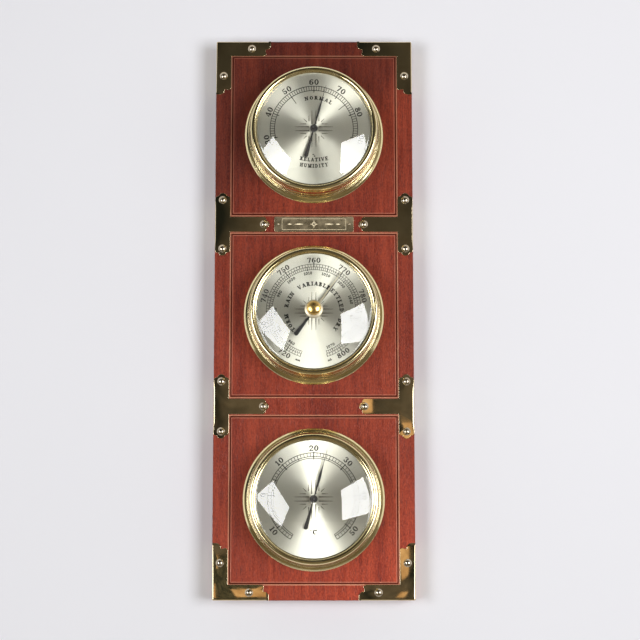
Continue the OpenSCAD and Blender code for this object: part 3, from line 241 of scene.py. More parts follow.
def make_piece(mesh, name, finish, body="board", crease=32, node=None):
    """Makes a piece of the mesh, smooth up to the crease's angle, which may stand for a CAD node."""
    shape = bmesh.new()
    shape.from_mesh(mesh)
    bmesh.ops.recalc_face_normals(shape, faces=shape.faces)
    shape.to_mesh(mesh)
    shape.free()
    mesh.shade_smooth()
    if crease:
        mesh.set_sharp_from_angle(angle=math.radians(crease))
    else:
        level_normals(mesh)
    mesh.materials.clear()
    mesh.materials.append(FINISHES[finish])
    mesh.name = name
    piece = new_object(name, mesh)
    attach(piece, body)
    if node:
        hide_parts(node)
    return piece


def spin_piece(outline, steps, name, dial, finish, crease, closed=True, body="board", node=None):
    """Turns an outline round a dial's middle into a piece."""
    shape = Shape()
    shape.lathe(outline, steps, closed)
    return make_piece(shape.mesh(name, DIAL_SEAT[dial]), name, finish, body, crease, node)


def print_piece(shape, name, seat, finish):
    """Makes a piece of flat printed forms."""
    return make_piece(shape.mesh(name, seat), name, finish)


# Nodes


def feed(tree, socket, value):
    """Joins another node's output to a socket, or sets the socket's own value."""
    if isinstance(value, bpy.types.NodeSocket):
        tree.links.new(value, socket)
    else:
        socket.default_value = value


def add_node(tree, kind, traits=None, **inputs):
    made = tree.nodes.new(kind)
    for key, value in (traits or {}).items():
        setattr(made, key, value)
    for key, value in inputs.items():
        feed(tree, made.inputs[key.replace("_", " ")], value)
    return made


def add_math(tree, operation, *values):
    made = add_node(tree, "ShaderNodeMath", {"operation": operation})
    for socket, value in zip(made.inputs, values):
        feed(tree, socket, value)
    return made.outputs[0]


class Finish:
    """A node material with short calls to add nodes and join their sockets."""

    def __init__(self, name):
        self.material = bpy.data.materials.new(name)
        self.material.use_nodes = True
        self.tree = self.material.node_tree
        self.shader = self.tree.nodes["Principled BSDF"]
        self.surface = self.tree.nodes["Material Output"].inputs["Surface"]

    def node(self, kind, traits=None, **inputs):
        return add_node(self.tree, kind, traits, **inputs)

    def mapped(self, scale, offset=(0, 0, 0)):
        place = self.node("ShaderNodeTexCoord").outputs["Object"]
        return self.node("ShaderNodeMapping", Vector=place, Scale=scale, Location=offset).outputs["Vector"]

    def noise(self, vector, scale, detail=2.0, roughness=0.5, distortion=0.0):
        made = self.node("ShaderNodeTexNoise", Vector=vector, Scale=scale, Detail=detail,
                         Roughness=roughness, Distortion=distortion)
        return made.outputs["Fac"]

    def cloud(self, scale, detail=2.0, roughness=0.5, distortion=0.0, offset=(0, 0, 0)):
        """Noise over the object, with one scale or one for each axis."""
        scales = scale if isinstance(scale, tuple) else (scale,) * 3
        return self.noise(self.mapped(scales, offset), 1.0, detail, roughness, distortion)

    def split(self, vector):
        return self.node("ShaderNodeSeparateXYZ", Vector=vector).outputs

    def heading(self, vector):
        return self.node("ShaderNodeVectorMath", {"operation": "NORMALIZE"}, Vector=vector).outputs["Vector"]

    def ramp(self, value, *stops):
        made = self.node("ShaderNodeValToRGB", Fac=value)
        elements = made.color_ramp.elements
        while len(elements) < len(stops):
            elements.new(0.5)
        for element, (place, colour) in zip(elements, stops):
            element.position = place
            element.color = (*colour, 1)
        return made.outputs["Color"]

    def grey(self, value, *stops):
        return self.ramp(value, *[(place, (level,) * 3) for place, level in stops])

    def mix(self, factor, first, second, blend="MIX"):
        made = self.node("ShaderNodeMix", {"data_type": "RGBA", "blend_type": blend})
        feed(self.tree, made.inputs[0], factor)
        for index, value in ((6, first), (7, second)):
            joined = isinstance(value, bpy.types.NodeSocket)
            feed(self.tree, made.inputs[index], value if joined else (*value, 1))
        return made.outputs[2]

    def math(self, operation, *values):
        return add_math(self.tree, operation, *values)

    def plus(self, first, second):
        return self.math("ADD", first, second)

    def minus(self, first, second):
        return self.math("SUBTRACT", first, second)

    def times(self, first, second):
        return self.math("MULTIPLY", first, second)

    def bump(self, height, distance, strength=1.0, **normal):
        made = self.node("ShaderNodeBump", Height=height, Distance=distance, Strength=strength, **normal)
        return made.outputs["Normal"]

    def set(self, **inputs):
        for key, value in inputs.items():
            feed(self.tree, self.shader.inputs[key.replace("_", " ")], value)
        return self.material

    def clear_where(self, share, colour=(1, 1, 1)):
        """Lets light straight through where the share is one."""
        clear = self.node("ShaderNodeBsdfTransparent", Color=(*colour, 1))
        both = self.node("ShaderNodeMixShader")
        for socket, value in zip(both.inputs, (share, self.shader.outputs["BSDF"], clear.outputs["BSDF"])):
            feed(self.tree, socket, value)
        feed(self.tree, self.surface, both.outputs["Shader"])
        return self.material

    def glow(self, colour):
        """Makes the surface shine by itself."""
        feed(self.tree, self.surface, self.node("ShaderNodeEmission", Color=colour).outputs["Emission"])
        return self.material


# Materials


def shaded(colour, level):
    return tuple(c * level for c in colour)


def groove_line(f, start, end):
    """A thin line beside the fields' grooves, at a distance outwards from the middle of the groove."""
    place = f.split(f.mapped((1, 1, 1)))
    across = f.minus(f.math("ABSOLUTE", place["X"]), FIELD_HALF_W)
    level = f.math("PINGPONG", f.minus(place["Z"], dial_middle("hygrometer")), PITCH / 2)
    away = f.math("MAXIMUM", across, f.minus(level, FIELD_HALF_H))
    off = f.math("ABSOLUTE", f.minus(away, (start + end) / 2))
    line = f.grey(f.math("DIVIDE", off, end - start), (0.42, 1.0), (0.58, 0.0))
    return f.mix(f.math("LESS_THAN", place["Y"], GROOVE_BACK_Y), (0, 0, 0), line)


def mahogany():
    """Red-stained mahogany under a satin lacquer, with the grain upright, painted highlight lines beside its
    grooves, a painted shade line in them, and painted light and shade that darkens the top and left.
    """
    wood = settings("board")
    f = Finish("mahogany")
    bands = f.cloud((46, 46, 3.2), 3.0, 0.55, 0.35)
    fibre = f.cloud((420, 420, 26), 4.0, 0.6, 0.2)
    flake = f.cloud((1100, 1100, 620), 2.0, 0.6)
    pores = f.cloud((2100, 2100, 150), 1.5, offset=(3, 1, 7))
    tone = f.plus(f.plus(f.times(bands, 0.38), f.times(fibre, 0.26)), f.times(flake, 0.36))
    between = [(a + b) / 2 for a, b in zip(wood.heart, wood.bloom)]
    colour = f.ramp(tone, (0.395, wood.heart), (0.50, between), (0.605, wood.bloom))
    # Painted light and shade: the wood's colour is multiplied darker towards the top and left and lighter
    # towards the bottom and right.
    place = f.split(f.mapped((1, 1, 1)))
    down = f.plus(f.times(place["Z"], -2.4), f.times(place["X"], 1.6))
    painted_light_fade = f.grey(down, (0.0, 0.33), (0.10, 0.34), (0.18, 0.61), (0.27, 0.60), (0.36, 0.69), (0.60, 0.66),
                  (0.80, 0.70), (0.96, 1.0))
    colour = f.mix(1.0, colour, painted_light_fade, "MULTIPLY")
    pore = f.grey(pores, (0.34, 1.0), (0.43, 0.0))
    colour = f.mix(f.times(pore, 0.5), colour, (0.055, 0.008, 0.005))
    # Painted highlights: two lighter lines along each groove's arrises, dimmed by the painted light and shade
    # above.
    for start, end, lit in ((0.00025, 0.00115, (0.85, 0.40, 0.25)), (-0.00125, -0.00075, (0.62, 0.22, 0.14))):
        colour = f.mix(f.mix(1.0, groove_line(f, start, end), painted_light_fade, "MULTIPLY"), colour, lit)
    # Painted shade: a dark line along the bottom of each groove.
    colour = f.mix(f.times(groove_line(f, -0.0006, 0.0002), 0.7), colour, (0.08, 0.010, 0.007))
    return f.set(
        Base_Color=colour, Metallic=0.4, Roughness=f.grey(fibre, (0.3, 0.40), (0.7, 0.54)),
        Normal=f.bump(f.minus(f.times(fibre, 0.25), pore), wood.pore_depth),
        Coat_Weight=0.3, Coat_Roughness=0.22, Coat_IOR=1.4)


def brass(name, colour, roughness, waves, tarnish=0.0, scratches=0.0):
    """Lacquered brass: slow waves in the sheet, fine hairlines and a little tarnish."""
    f = Finish(name)
    dull = f.grey(f.cloud(90, 4.0, 0.6), (0.42, 0.0), (0.72, 1.0))
    darker = tuple(a * b for a, b in zip(colour, (0.60, 0.52, 0.42)))
    sheet = f.bump(f.cloud(38, 1.0, offset=(1, 5, 2)), waves)
    return f.set(
        Base_Color=f.mix(f.times(dull, tarnish), colour, darker), Metallic=1.0,
        Roughness=f.plus(f.times(dull, roughness * 0.7), roughness),
        Normal=f.bump(f.cloud((260, 5200, 260)), 0.000004, scratches, Normal=sheet))


def steel(name, colour, roughness):
    """Plated or bright steel with faint spots."""
    f = Finish(name)
    spots = f.cloud(160, 4.0, 0.6)
    return f.set(
        Base_Color=f.mix(f.grey(spots, (0.4, 0.0), (0.75, 0.5)), colour, shaded(colour, 0.55)), Metallic=1.0,
        Roughness=f.grey(spots, (0.3, roughness), (0.8, roughness + 0.2)), Normal=f.bump(spots, 0.00002))


def blackened(name, colour, roughness):
    f = Finish(name)
    grain = f.cloud(900, 3.0)
    return f.set(Base_Color=f.mix(grain, colour, shaded(colour, 1.8)), Roughness=roughness,
                 Normal=f.bump(grain, 0.00001))


def silvered(name, middle_z):
    """A silvered plate brushed from its middle outwards, so that light fans out over it."""
    f = Finish(name)
    silver = settings("dial").silver
    streak = f.noise(f.heading(f.mapped((1, 0, 1), (0, 0, -middle_z))), 55.0, 5.0, 0.7)
    tint = f.mix(f.grey(streak, (0.35, 0.0), (0.65, 0.35)), silver, shaded(silver, 0.82))
    tint = f.mix(f.grey(f.cloud(60, 3.0), (0.45, 0.0), (0.8, 0.14)), tint, (0.75, 0.66, 0.48))
    around = f.node("ShaderNodeTangent", {"direction_type": "UV_MAP", "uv_map": "round"})
    return f.set(Base_Color=tint, Metallic=0.88, Roughness=f.grey(streak, (0.3, 0.40), (0.7, 0.46)),
                 Anisotropic=0.97, Tangent=around.outputs["Tangent"])


def ink(name, colour):
    """Printing ink, a little worn."""
    f = Finish(name)
    worn = tuple(c * 2.4 + 0.004 for c in colour)
    return f.set(Base_Color=f.mix(f.cloud(1500), colour, worn), Roughness=0.55, Specular_IOR_Level=0.1)


def dome_glass():
    """Clear glass that lets the lamps' light through to the dial."""
    f = Finish("dome_glass")
    f.set(Base_Color=(0.985, 0.99, 0.985, 1), Roughness=0.0, IOR=1.5, Transmission_Weight=1.0)
    return f.clear_where(f.node("ShaderNodeLightPath").outputs["Is Shadow Ray"], (0.93, 0.94, 0.93))


FINISHES = {}


def make_finishes():
    """Makes every material of the piece, under the names that the pieces ask for."""
    polished = tuple(settings("brass").polished)
    plain = tuple(settings("brass").plain)
    FINISHES.update(mahogany=mahogany(), dome_glass=dome_glass())
    for maker, table in (
        (brass, {
            "polished_brass": (polished, 0.13, 0.000004),
            "plate_brass": (plain, 0.02, 0.00002, 0.4, 0.04),
            "name_brass": (plain, 0.24, 0.00002, 0.35, 1.0),
            "nail_brass": ((0.54, 0.47, 0.37), 0.19, 0.00001, 0.4),
            "hand_brass": ((0.60, 0.54, 0.40), 0.38, 0.00001),
            "gilt": ((0.90, 0.62, 0.22), 0.20, 0.00001),
            "movement_brass": ((0.74, 0.60, 0.33), 0.24, 0.00002, 0.3, 0.5),
            "hanger_brass": ((0.62, 0.50, 0.28), 0.34, 0.00004, 0.8, 1.0),
        }),
        (steel, {
            "cup_steel": ((0.70, 0.62, 0.40), 0.28),
            "spindle_steel": ((0.22, 0.22, 0.23), 0.14),
            "screw_steel": ((0.60, 0.60, 0.61), 0.30),
            "capsule_silver": ((0.72, 0.70, 0.64), 0.26),
        }),
        (blackened, {
            "black_ring": ((0.02, 0.02, 0.02), 0.5),
            "black_hand": ((0.014, 0.013, 0.013), 0.32),
        }),
        (ink, {
            "print_ink": (tuple(settings("dial").print_colour),),
            "star_ink": ((0.05, 0.045, 0.035),),
            "engraved": ((0.62, 0.54, 0.38),),
        }),
        (silvered, {name + "_silver": (dial_middle(name),) for name in NAMES}),
    ):
        for name, values in table.items():
            FINISHES[name] = maker(name, *values)


def dress(finish, *nodes):
    """Gives CAD nodes their finish and leaves their meshes alone."""
    for node in nodes:
        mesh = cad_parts[node].data
        mesh.materials.clear()
        mesh.materials.append(FINISHES[finish])


# Printed signs


def rotated(outline, clockwise, at=(0, 0)):
    """Turns an outline clockwise in degrees and carries it to a place on the dial."""
    turn = math.radians(-clockwise)
    c, s = math.cos(turn), math.sin(turn)
    return [(at[0] + c * x - s * y, at[1] + s * x + c * y) for x, y in outline]


def on_circle(radius, clockwise):
    turn = math.radians(clockwise)
    return radius * math.sin(turn), radius * math.cos(turn)


def band(inner, outer, start, end, steps):
    """An arc-shaped strip, with angles clockwise from the top."""
    turns = [start + (end - start) * k / steps for k in range(steps + 1)]
    return [on_circle(outer, t) for t in turns] + [on_circle(inner, t) for t in reversed(turns)]


# Strokes of the signs, where one is the height of a letter
HEAVY = 0.26
FINE = 0.16
SLAB = 0.24
BALL_R = 0.10
HEAD_Y = 0.965
FOOT_Y = 0.035


def bar(x0, x1, y, t=FINE):
    return [(x0, y - t / 2), (x1, y - t / 2), (x1, y + t / 2), (x0, y + t / 2)]


def slant(x0, y0, x1, y1, w):
    return [(x0 - w / 2, y0), (x0 + w / 2, y0), (x1 + w / 2, y1), (x1 - w / 2, y1)]


def stem(x, y0, y1, feet, w=HEAVY):
    """An upright stroke with a slab at its bottom, its top or both."""
    reach = w / 2 + SLAB / 2
    made = [slant(x, y0, x, y1, w)]
    if "b" in feet:
        made.append(bar(x - reach, x + reach, y0 + FINE / 2))
    if "t" in feet:
        made.append(bar(x - reach, x + reach, y1 - FINE / 2))
    return made


def bowl(x, y, rx, ry, start=0, end=360, heavy=HEAVY, fine=FINE):
    """A round stroke, heavy at its sides and fine at its top and foot."""
    made = []
    parts = max(1, round(abs(end - start) / 180))
    for k in range(parts):
        a = start + (end - start) * k / parts
        b = start + (end - start) * (k + 1) / parts
        turns = [math.radians(a + (b - a) * j / 10) for j in range(11)]
        outer = [(x + rx * math.cos(t), y + ry * math.sin(t)) for t in turns]
        inner = [(x + (rx - heavy) * math.cos(t), y + (ry - fine) * math.sin(t)) for t in reversed(turns)]
        made.append(outer + inner)
    return made


def loop(x, y, rx, ry, start=0, end=360):
    """The round stroke of a number, lighter than a letter's."""
    return bowl(x, y, rx, ry, start, end, 0.21, 0.145)


def ball(x, y):
    return arc((x, y), BALL_R, 0, 330, 11)


def rows(*parts):
    """Flattens strokes and lists of strokes into one list of outlines."""
    made = []
    for part in parts:
        if isinstance(part[0], tuple):
            made.append(part)
        else:
            made.extend(part)
    return made


POST = stem(0.2, 0, 1, "bt")
ARMS = rows(bar(0, 0.32, HEAD_Y), bar(0.54, 0.78, HEAD_Y))
SIX = rows(loop(0.33, 0.31, 0.32, 0.31), loop(0.46, 0.5, 0.45, 0.5, 95, 200), ball(0.54, 0.86))
RING = [[(0.18 + x, 0.84 + y) for x, y in band(0.07, 0.14, start, start + span, 8)]
        for start, span in ((0, 178), (178, 182))]
SIGNS = {
    "0": (0.68, rows(loop(0.34, 0.5, 0.33, 0.5))),
    "1": (0.5, rows(stem(0.27, 0, 1, "b", 0.19), slant(0.05, 0.78, 0.25, 0.98, 0.13))),
    "2": (0.66, rows(loop(0.33, 0.70, 0.30, 0.30, -40, 175), ball(0.13, 0.70),
                     slant(0.10, 0.08, 0.49, 0.52, 0.17), bar(0.03, 0.60, 0.075, 0.15),
                     slant(0.58, 0, 0.63, 0.27, 0.09))),
    "3": (0.64, rows(loop(0.31, 0.75, 0.28, 0.25, -90, 165), loop(0.31, 0.28, 0.31, 0.28, -170, 90),
                     ball(0.11, 0.77), ball(0.1, 0.24))),
    "4": (0.70, rows(stem(0.47, 0, 1, "b", 0.19), slant(0.06, 0.28, 0.44, 1, 0.13),
                     bar(0.02, 0.68, 0.29, 0.12))),
    "5": (0.64, rows(bar(0.11, 0.56, 0.92, 0.15), slant(0.13, 0.5, 0.15, 0.95, 0.11),
                     loop(0.31, 0.32, 0.31, 0.32, -165, 130), ball(0.11, 0.25))),
    "6": (0.67, SIX),
    "7": (0.64, rows(bar(0.05, 0.62, 0.92, 0.15), slant(0.08, 0.70, 0.08, 0.99, 0.10),
                     slant(0.27, 0, 0.56, 0.9, 0.19))),
    "8": (0.66, rows(loop(0.33, 0.75, 0.28, 0.25), loop(0.33, 0.28, 0.32, 0.28))),
    "9": (0.67, [[(0.67 - x, 1 - y) for x, y in outline] for outline in SIX]),
    "A": (0.78, rows(slant(0.11, 0, 0.37, 1, FINE), slant(0.64, 0, 0.40, 1, HEAVY), bar(0.2, 0.56, 0.32),
                     bar(0, 0.24, FINE / 2), bar(0.45, 0.78, FINE / 2))),
    "B": (0.68, rows(POST, bar(0.2, 0.36, HEAD_Y), bar(0.2, 0.36, 0.52), bar(0.2, 0.36, FOOT_Y),
                     bowl(0.34, 0.75, 0.28, 0.25, -90, 90), bowl(0.35, 0.27, 0.31, 0.27, -90, 90))),
    "C": (0.74, rows(bowl(0.37, 0.5, 0.36, 0.5, 45, 315), slant(0.66, 0.66, 0.66, 1, FINE))),
    "D": (0.76, rows(POST, bar(0.2, 0.36, HEAD_Y), bar(0.2, 0.36, FOOT_Y),
                     bowl(0.34, 0.5, 0.4, 0.5, -90, 90))),
    "E": (0.68, rows(POST, bar(0.2, 0.62, HEAD_Y), bar(0.2, 0.5, 0.5), bar(0.2, 0.64, FOOT_Y),
                     slant(0.6, 0.72, 0.6, 1, FINE), slant(0.63, 0, 0.63, 0.28, FINE),
                     slant(0.5, 0.36, 0.5, 0.64, FINE))),
    "H": (0.84, rows(POST, stem(0.64, 0, 1, "bt"), bar(0.2, 0.64, 0.5))),
    "I": (0.42, rows(stem(0.21, 0, 1, "bt"))),
    "L": (0.66, rows(POST, bar(0.2, 0.62, FOOT_Y), slant(0.61, 0, 0.61, 0.32, FINE))),
    "M": (1.0, rows(stem(0.17, 0, 1, "bt", FINE), slant(0.48, 0, 0.22, 1, HEAVY),
                    slant(0.5, 0, 0.76, 1, FINE), stem(0.8, 0, 1, "bt"))),
    "N": (0.84, rows(stem(0.17, 0, 1, "bt", FINE), slant(0.66, 0, 0.2, 1, HEAVY),
                     stem(0.68, 0, 1, "t", FINE))),
    "O": (0.78, rows(bowl(0.39, 0.5, 0.38, 0.5))),
    "R": (0.78, rows(POST, bar(0.2, 0.36, HEAD_Y), bar(0.2, 0.36, 0.48),
                     bowl(0.34, 0.74, 0.30, 0.26, -90, 90), slant(0.66, 0, 0.4, 0.5, HEAVY),
                     bar(0.6, 0.8, FINE / 2))),
    "S": (0.62, rows(bowl(0.31, 0.74, 0.28, 0.26, 50, 270), bowl(0.31, 0.27, 0.29, 0.27, -130, 90),
                     slant(0.54, 0.7, 0.54, 1, FINE), slant(0.06, 0, 0.06, 0.3, FINE))),
    "T": (0.74, rows(stem(0.37, 0, 1, "b"), bar(0.04, 0.70, HEAD_Y), slant(0.06, 0.7, 0.06, 1, FINE),
                     slant(0.68, 0.7, 0.68, 1, FINE))),
    "U": (0.82, rows(stem(0.19, 0.35, 1, "t"), stem(0.66, 0.35, 1, "t", FINE),
                     bowl(0.39, 0.35, 0.3, 0.35, 180, 360))),
    "V": (0.78, rows(slant(0.40, 0, 0.14, 1, HEAVY), slant(0.40, 0, 0.66, 1, FINE), ARMS)),
    "Y": (0.78, rows(slant(0.38, 0.45, 0.14, 1, HEAVY), slant(0.38, 0.45, 0.66, 1, FINE),
                     stem(0.38, 0, 0.5, "b"), ARMS)),
    "m": (0.95, rows(stem(0.16, 0, 0.66, "b"), stem(0.48, 0, 0.6, "b"), stem(0.8, 0, 0.6, "b"),
                     bar(0.1, 0.86, 0.62))),
    "b": (0.68, rows(stem(0.17, 0, 1, "t"), bowl(0.36, 0.32, 0.29, 0.32))),
    "%": (0.8, rows(bowl(0.2, 0.76, 0.19, 0.24), bowl(0.62, 0.24, 0.19, 0.24), slant(0.2, 0, 0.62, 1, 0.05))),
    "°": (0.36, RING),
}


def set_signs(text, height, wide, gap):
    """Each sign's middle along the line and its outlines about that middle, in millimetres."""
    x = -(sum(SIGNS[sign][0] + gap for sign in text) - gap) / 2
    for sign in text:
        width, outlines = SIGNS[sign]
        flat = [[((px - width / 2) * height * wide, (py - 0.5) * height) for px, py in outline]
                for outline in outlines]
        yield (x + width / 2) * height * wide, flat
        x += width + gap


def write_line(shape, text, centre, height):
    """Straight lettering centred on a point of the dial."""
    for along, outlines in set_signs(text, height, 1.15, 0.16):
        for outline in outlines:
            shape.mark(rotated(outline, 0, (centre[0] + along, centre[1])))


def write_round(shape, text, radius, middle, height, wide=1.15, gap=0.16, inward=False, lift=0.0):
    """Lettering on a circle, with its heads outwards, or inwards at the foot of a dial."""
    for along, outlines in set_signs(text, height, wide, gap):
        turn = math.degrees(along / radius)
        turn = middle - turn if inward else middle + turn
        x, y = on_circle(radius, turn)
        for outline in outlines:
            shape.mark(rotated(outline, turn + 180 if inward else turn, (x, y + lift)))


def star(shape):
    """Fine rays round the dial's middle: four groups of four and four single dashes."""
    for quarter in range(4):
        for offset, start, reach, width in ((-1.45, 3.4, 13.7, 0.95), (1.45, 3.4, 13.7, 0.95),
                                            (-3.6, 5.6, 10.0, 0.7), (3.6, 5.6, 10.0, 0.7)):
            ray = [(offset - width / 2, start), (offset + width / 2, start),
                   (offset + 0.12, reach), (offset - 0.12, reach)]
            shape.mark(rotated(ray, quarter * 90))
        dash = [(-0.32, 7.3), (0.32, 7.3), (0.14, 10.6), (-0.14, 10.6)]
        shape.mark(rotated(dash, quarter * 90 + 45))


# Geometry Nodes for ticks and nails


def new_tree(name, **sockets):
    """A tree with a geometry that goes through it and the named inputs, and those inputs' sockets."""
    tree = bpy.data.node_groups.new(name, "GeometryNodeTree")
    tree.interface.new_socket("Geometry", in_out="OUTPUT", socket_type="NodeSocketGeometry")
    for label, kind in {"Geometry": "Geometry", **sockets}.items():
        tree.interface.new_socket(label, in_out="INPUT", socket_type="NodeSocket" + kind)
    return tree, tree.nodes.new("NodeGroupInput").outputs


def end_tree(tree, geometry, finish):
    real = add_node(tree, "GeometryNodeRealizeInstances", Geometry=geometry)
    coat = add_node(tree, "GeometryNodeSetMaterial", Geometry=real.outputs[0], Material=finish)
    add_node(tree, "NodeGroupOutput", Geometry=coat.outputs[0])
    return tree


def tick_tree():
    """A row of ticks along an arc: the count, the arc's radius and ends, and one tick's size."""
    tree, given = new_tree("tick_row", Count="Int", Radius="Float", Start="Float", End="Float", Size="Vector",
                           Finish="Material")
    index = add_node(tree, "GeometryNodeInputIndex").outputs[0]
    last = add_math(tree, "SUBTRACT", given["Count"], 1.0)
    share = add_math(tree, "DIVIDE", index, add_math(tree, "MAXIMUM", last, 1.0))
    span = add_math(tree, "SUBTRACT", given["End"], given["Start"])
    turn = add_math(tree, "ADD", add_math(tree, "MULTIPLY", share, span), given["Start"])
    place = add_node(tree, "ShaderNodeCombineXYZ",
                     X=add_math(tree, "MULTIPLY", add_math(tree, "SINE", turn), given["Radius"]),
                     Y=add_math(tree, "MULTIPLY", add_math(tree, "COSINE", turn), given["Radius"]))
    points = add_node(tree, "GeometryNodePoints", Count=given["Count"], Position=place.outputs[0])
    lean = add_node(tree, "ShaderNodeCombineXYZ", Z=add_math(tree, "MULTIPLY", turn, -1.0))
    facing = add_node(tree, "FunctionNodeEulerToRotation", Euler=lean.outputs[0])
    tick = add_node(tree, "GeometryNodeMeshCube", Size=given["Size"])
    copies = add_node(tree, "GeometryNodeInstanceOnPoints", Points=points.outputs[0],
                      Instance=tick.outputs["Mesh"], Rotation=facing.outputs[0])
    return end_tree(tree, copies.outputs[0], given["Finish"])


def nail_tree():
    """One nail on every point of the carrying mesh."""
    tree, given = new_tree("nail_set", Nail="Object", Finish="Material")
    points = add_node(tree, "GeometryNodeMeshToPoints", Mesh=given["Geometry"])
    nail = add_node(tree, "GeometryNodeObjectInfo", Object=given["Nail"])
    copies = add_node(tree, "GeometryNodeInstanceOnPoints", Points=points.outputs[0],
                      Instance=nail.outputs["Geometry"])
    return end_tree(tree, copies.outputs[0], given["Finish"])


def run_tree(tree, mesh, values):
    """The plain mesh that a tree makes of the carrying mesh."""
    carrier = new_object("carrier", mesh)
    modifier = carrier.modifiers.new("tree", "NODES")
    modifier.node_group = tree
    for item in tree.interface.items_tree:
        if item.in_out == "INPUT" and item.name in values:
            modifier[item.identifier] = values[item.name]
    graph = bpy.context.evaluated_depsgraph_get()
    made = bpy.data.meshes.new_from_object(carrier.evaluated_get(graph))
    bpy.data.objects.remove(carrier)
    return made


def tick_rows(shape, tree, *rows_of_ticks):
    """Adds rows of ticks to a print: count, inner and outer radius, first and last angle, width."""
    middle = (INK_HIGH + INK_LOW) / 2
    for count, inner, outer, start, end, width in rows_of_ticks:
        made = run_tree(tree, bpy.data.meshes.new("empty"), {
            "Count": count, "Radius": (inner + outer) / 2, "Start": math.radians(start),
            "End": math.radians(end), "Size": (width, outer - inner, INK_HIGH - INK_LOW),
            "Finish": FINISHES["print_ink"]})
        points = [(v.co.x, v.co.y, v.co.z + middle) for v in made.vertices]
        shape.add(points, [tuple(face.vertices) for face in made.polygons])
        bpy.data.meshes.remove(made)


# Pieces


def nail_head(radius, height, steps, rings):
    """A domed head with a small sloping rim, closed underneath."""
    ball_r = (radius ** 2 + height ** 2) / (2 * height)
    dome = arc((0, height - ball_r), ball_r, math.degrees(math.acos(radius / ball_r)), 90, rings)
    shape = Shape()
    shape.lathe([(0, 0), (radius * 0.97, 0), (radius, height * 0.06), *dome[1:-1], (0, height)], steps, False)
    return shape


def outer_edges(shape):
    """The long outer edges of a folded plate, along the board's outline."""
    longest_short, right_angle, close = 0.004, math.radians(80), 0.0002
    found = []
    for edge in shape.edges:
        if len(edge.link_faces) != 2 or edge.calc_length() < longest_short:
            continue
        if edge.calc_face_angle(0) < right_angle or not edge.is_convex:
            continue
        middle = (edge.verts[0].co + edge.verts[1].co) / 2
        sides = (middle.x - board_low.x, board_high.x - middle.x, middle.z - board_low.z,
                 board_high.z - middle.z, middle.y - board_low.y)
        if sum(side < close for side in sides) >= 2:
            found.append(edge)
    return found


def round_edges(shape, edges, radius, steps):
    bmesh.ops.bevel(shape, geom=edges, offset=radius, offset_type="OFFSET", segments=steps, profile=0.5,
                    affect="EDGES", clamp_overlap=False)


def round_folds(shape, radius, inside):
    """Rounds a plate's folds, from a given way inside each free end."""
    ends = {}
    for edge in outer_edges(shape):
        for corner, other in (edge.verts, reversed(edge.verts)):
            place = tuple(round(c, 6) for c in corner.co)
            ends.setdefault(place, []).append((corner.co.copy(), other.co.copy()))
    for (corner, other), *more in ends.values():
        if not more:
            along = (other - corner).normalized()
            bmesh.ops.bisect_plane(shape, geom=[*shape.verts, *shape.edges, *shape.faces], dist=1e-6,
                                   plane_co=corner + along * inside, plane_no=along)
    round_edges(shape, outer_edges(shape), radius, 6)


def softened_copy(name, node, finish, edge, fold=0.0, fold_inside=0.0):
    """A merged copy of a brass CAD node with rounded edges, which stands for the node."""
    shape = bmesh.new()
    shape.from_mesh(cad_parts[node].data)
    bmesh.ops.remove_doubles(shape, verts=shape.verts, dist=2e-6)
    bmesh.ops.dissolve_limit(shape, angle_limit=math.radians(0.5), verts=shape.verts, edges=shape.edges)
    kept = set(outer_edges(shape)) if fold else ()
    sharp = [e for e in shape.edges
             if len(e.link_faces) == 2 and e.calc_face_angle(0) > math.radians(35) and e not in kept]
    round_edges(shape, sharp, edge, 2)
    if fold:
        round_folds(shape, fold, fold_inside)
    mesh = bpy.data.meshes.new(name)
    shape.to_mesh(mesh)
    shape.free()
    make_piece(mesh, name, finish, crease=0, node=node)


def nail_places():
    """Places of the plates' nails in millimetres on the board's face, from its middle."""
    half_w = (board_high.x - board_low.x) / 2 / MM
    half_h = (board_high.z - board_low.z) / 2 / MM
    along, edge, side, arm, height = 26.4, 5.6, 18.1, 35.9, 0.6
    places = []
    for sx in (-1, 1):
        for sy in (-1, 1):
            x = sx * (half_w - edge)
            y = sy * PITCH / MM / 2
            places += [(sx * (half_w - along), sy * (half_h - edge)), (x, sy * (half_h - along))]
            places += [(x, y - side), (x, y + side), (sx * (half_w - arm), y)]
    return [(x, y, height) for x, y in places]


class BAROMETER_OT_board(bpy.types.Operator):
    """Gives the grooved mahogany board its grain, pores and lacquer"""

    bl_idname = "barometer.board"
    bl_label = "Board"

    def execute(self, context):
        make_finishes()
        dress("mahogany", "backboard")
        return {"FINISHED"}


class BAROMETER_OT_plates(bpy.types.Operator):
    """Rounds the edges and folds of the eight stamped brass plates"""

    bl_idname = "barometer.plates"
    bl_label = "Brass plates"

    def execute(self, context):
        shine = settings("brass")
        for node in sorted(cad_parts):
            for kind, fold_inside in (("corner_plate", 0.0018), ("side_plate", 0.0048)):
                if node.startswith(kind):
                    softened_copy("folded_" + node, node, "plate_brass", shine.edge_round, shine.fold_round,
                                  fold_inside)
        return {"FINISHED"}


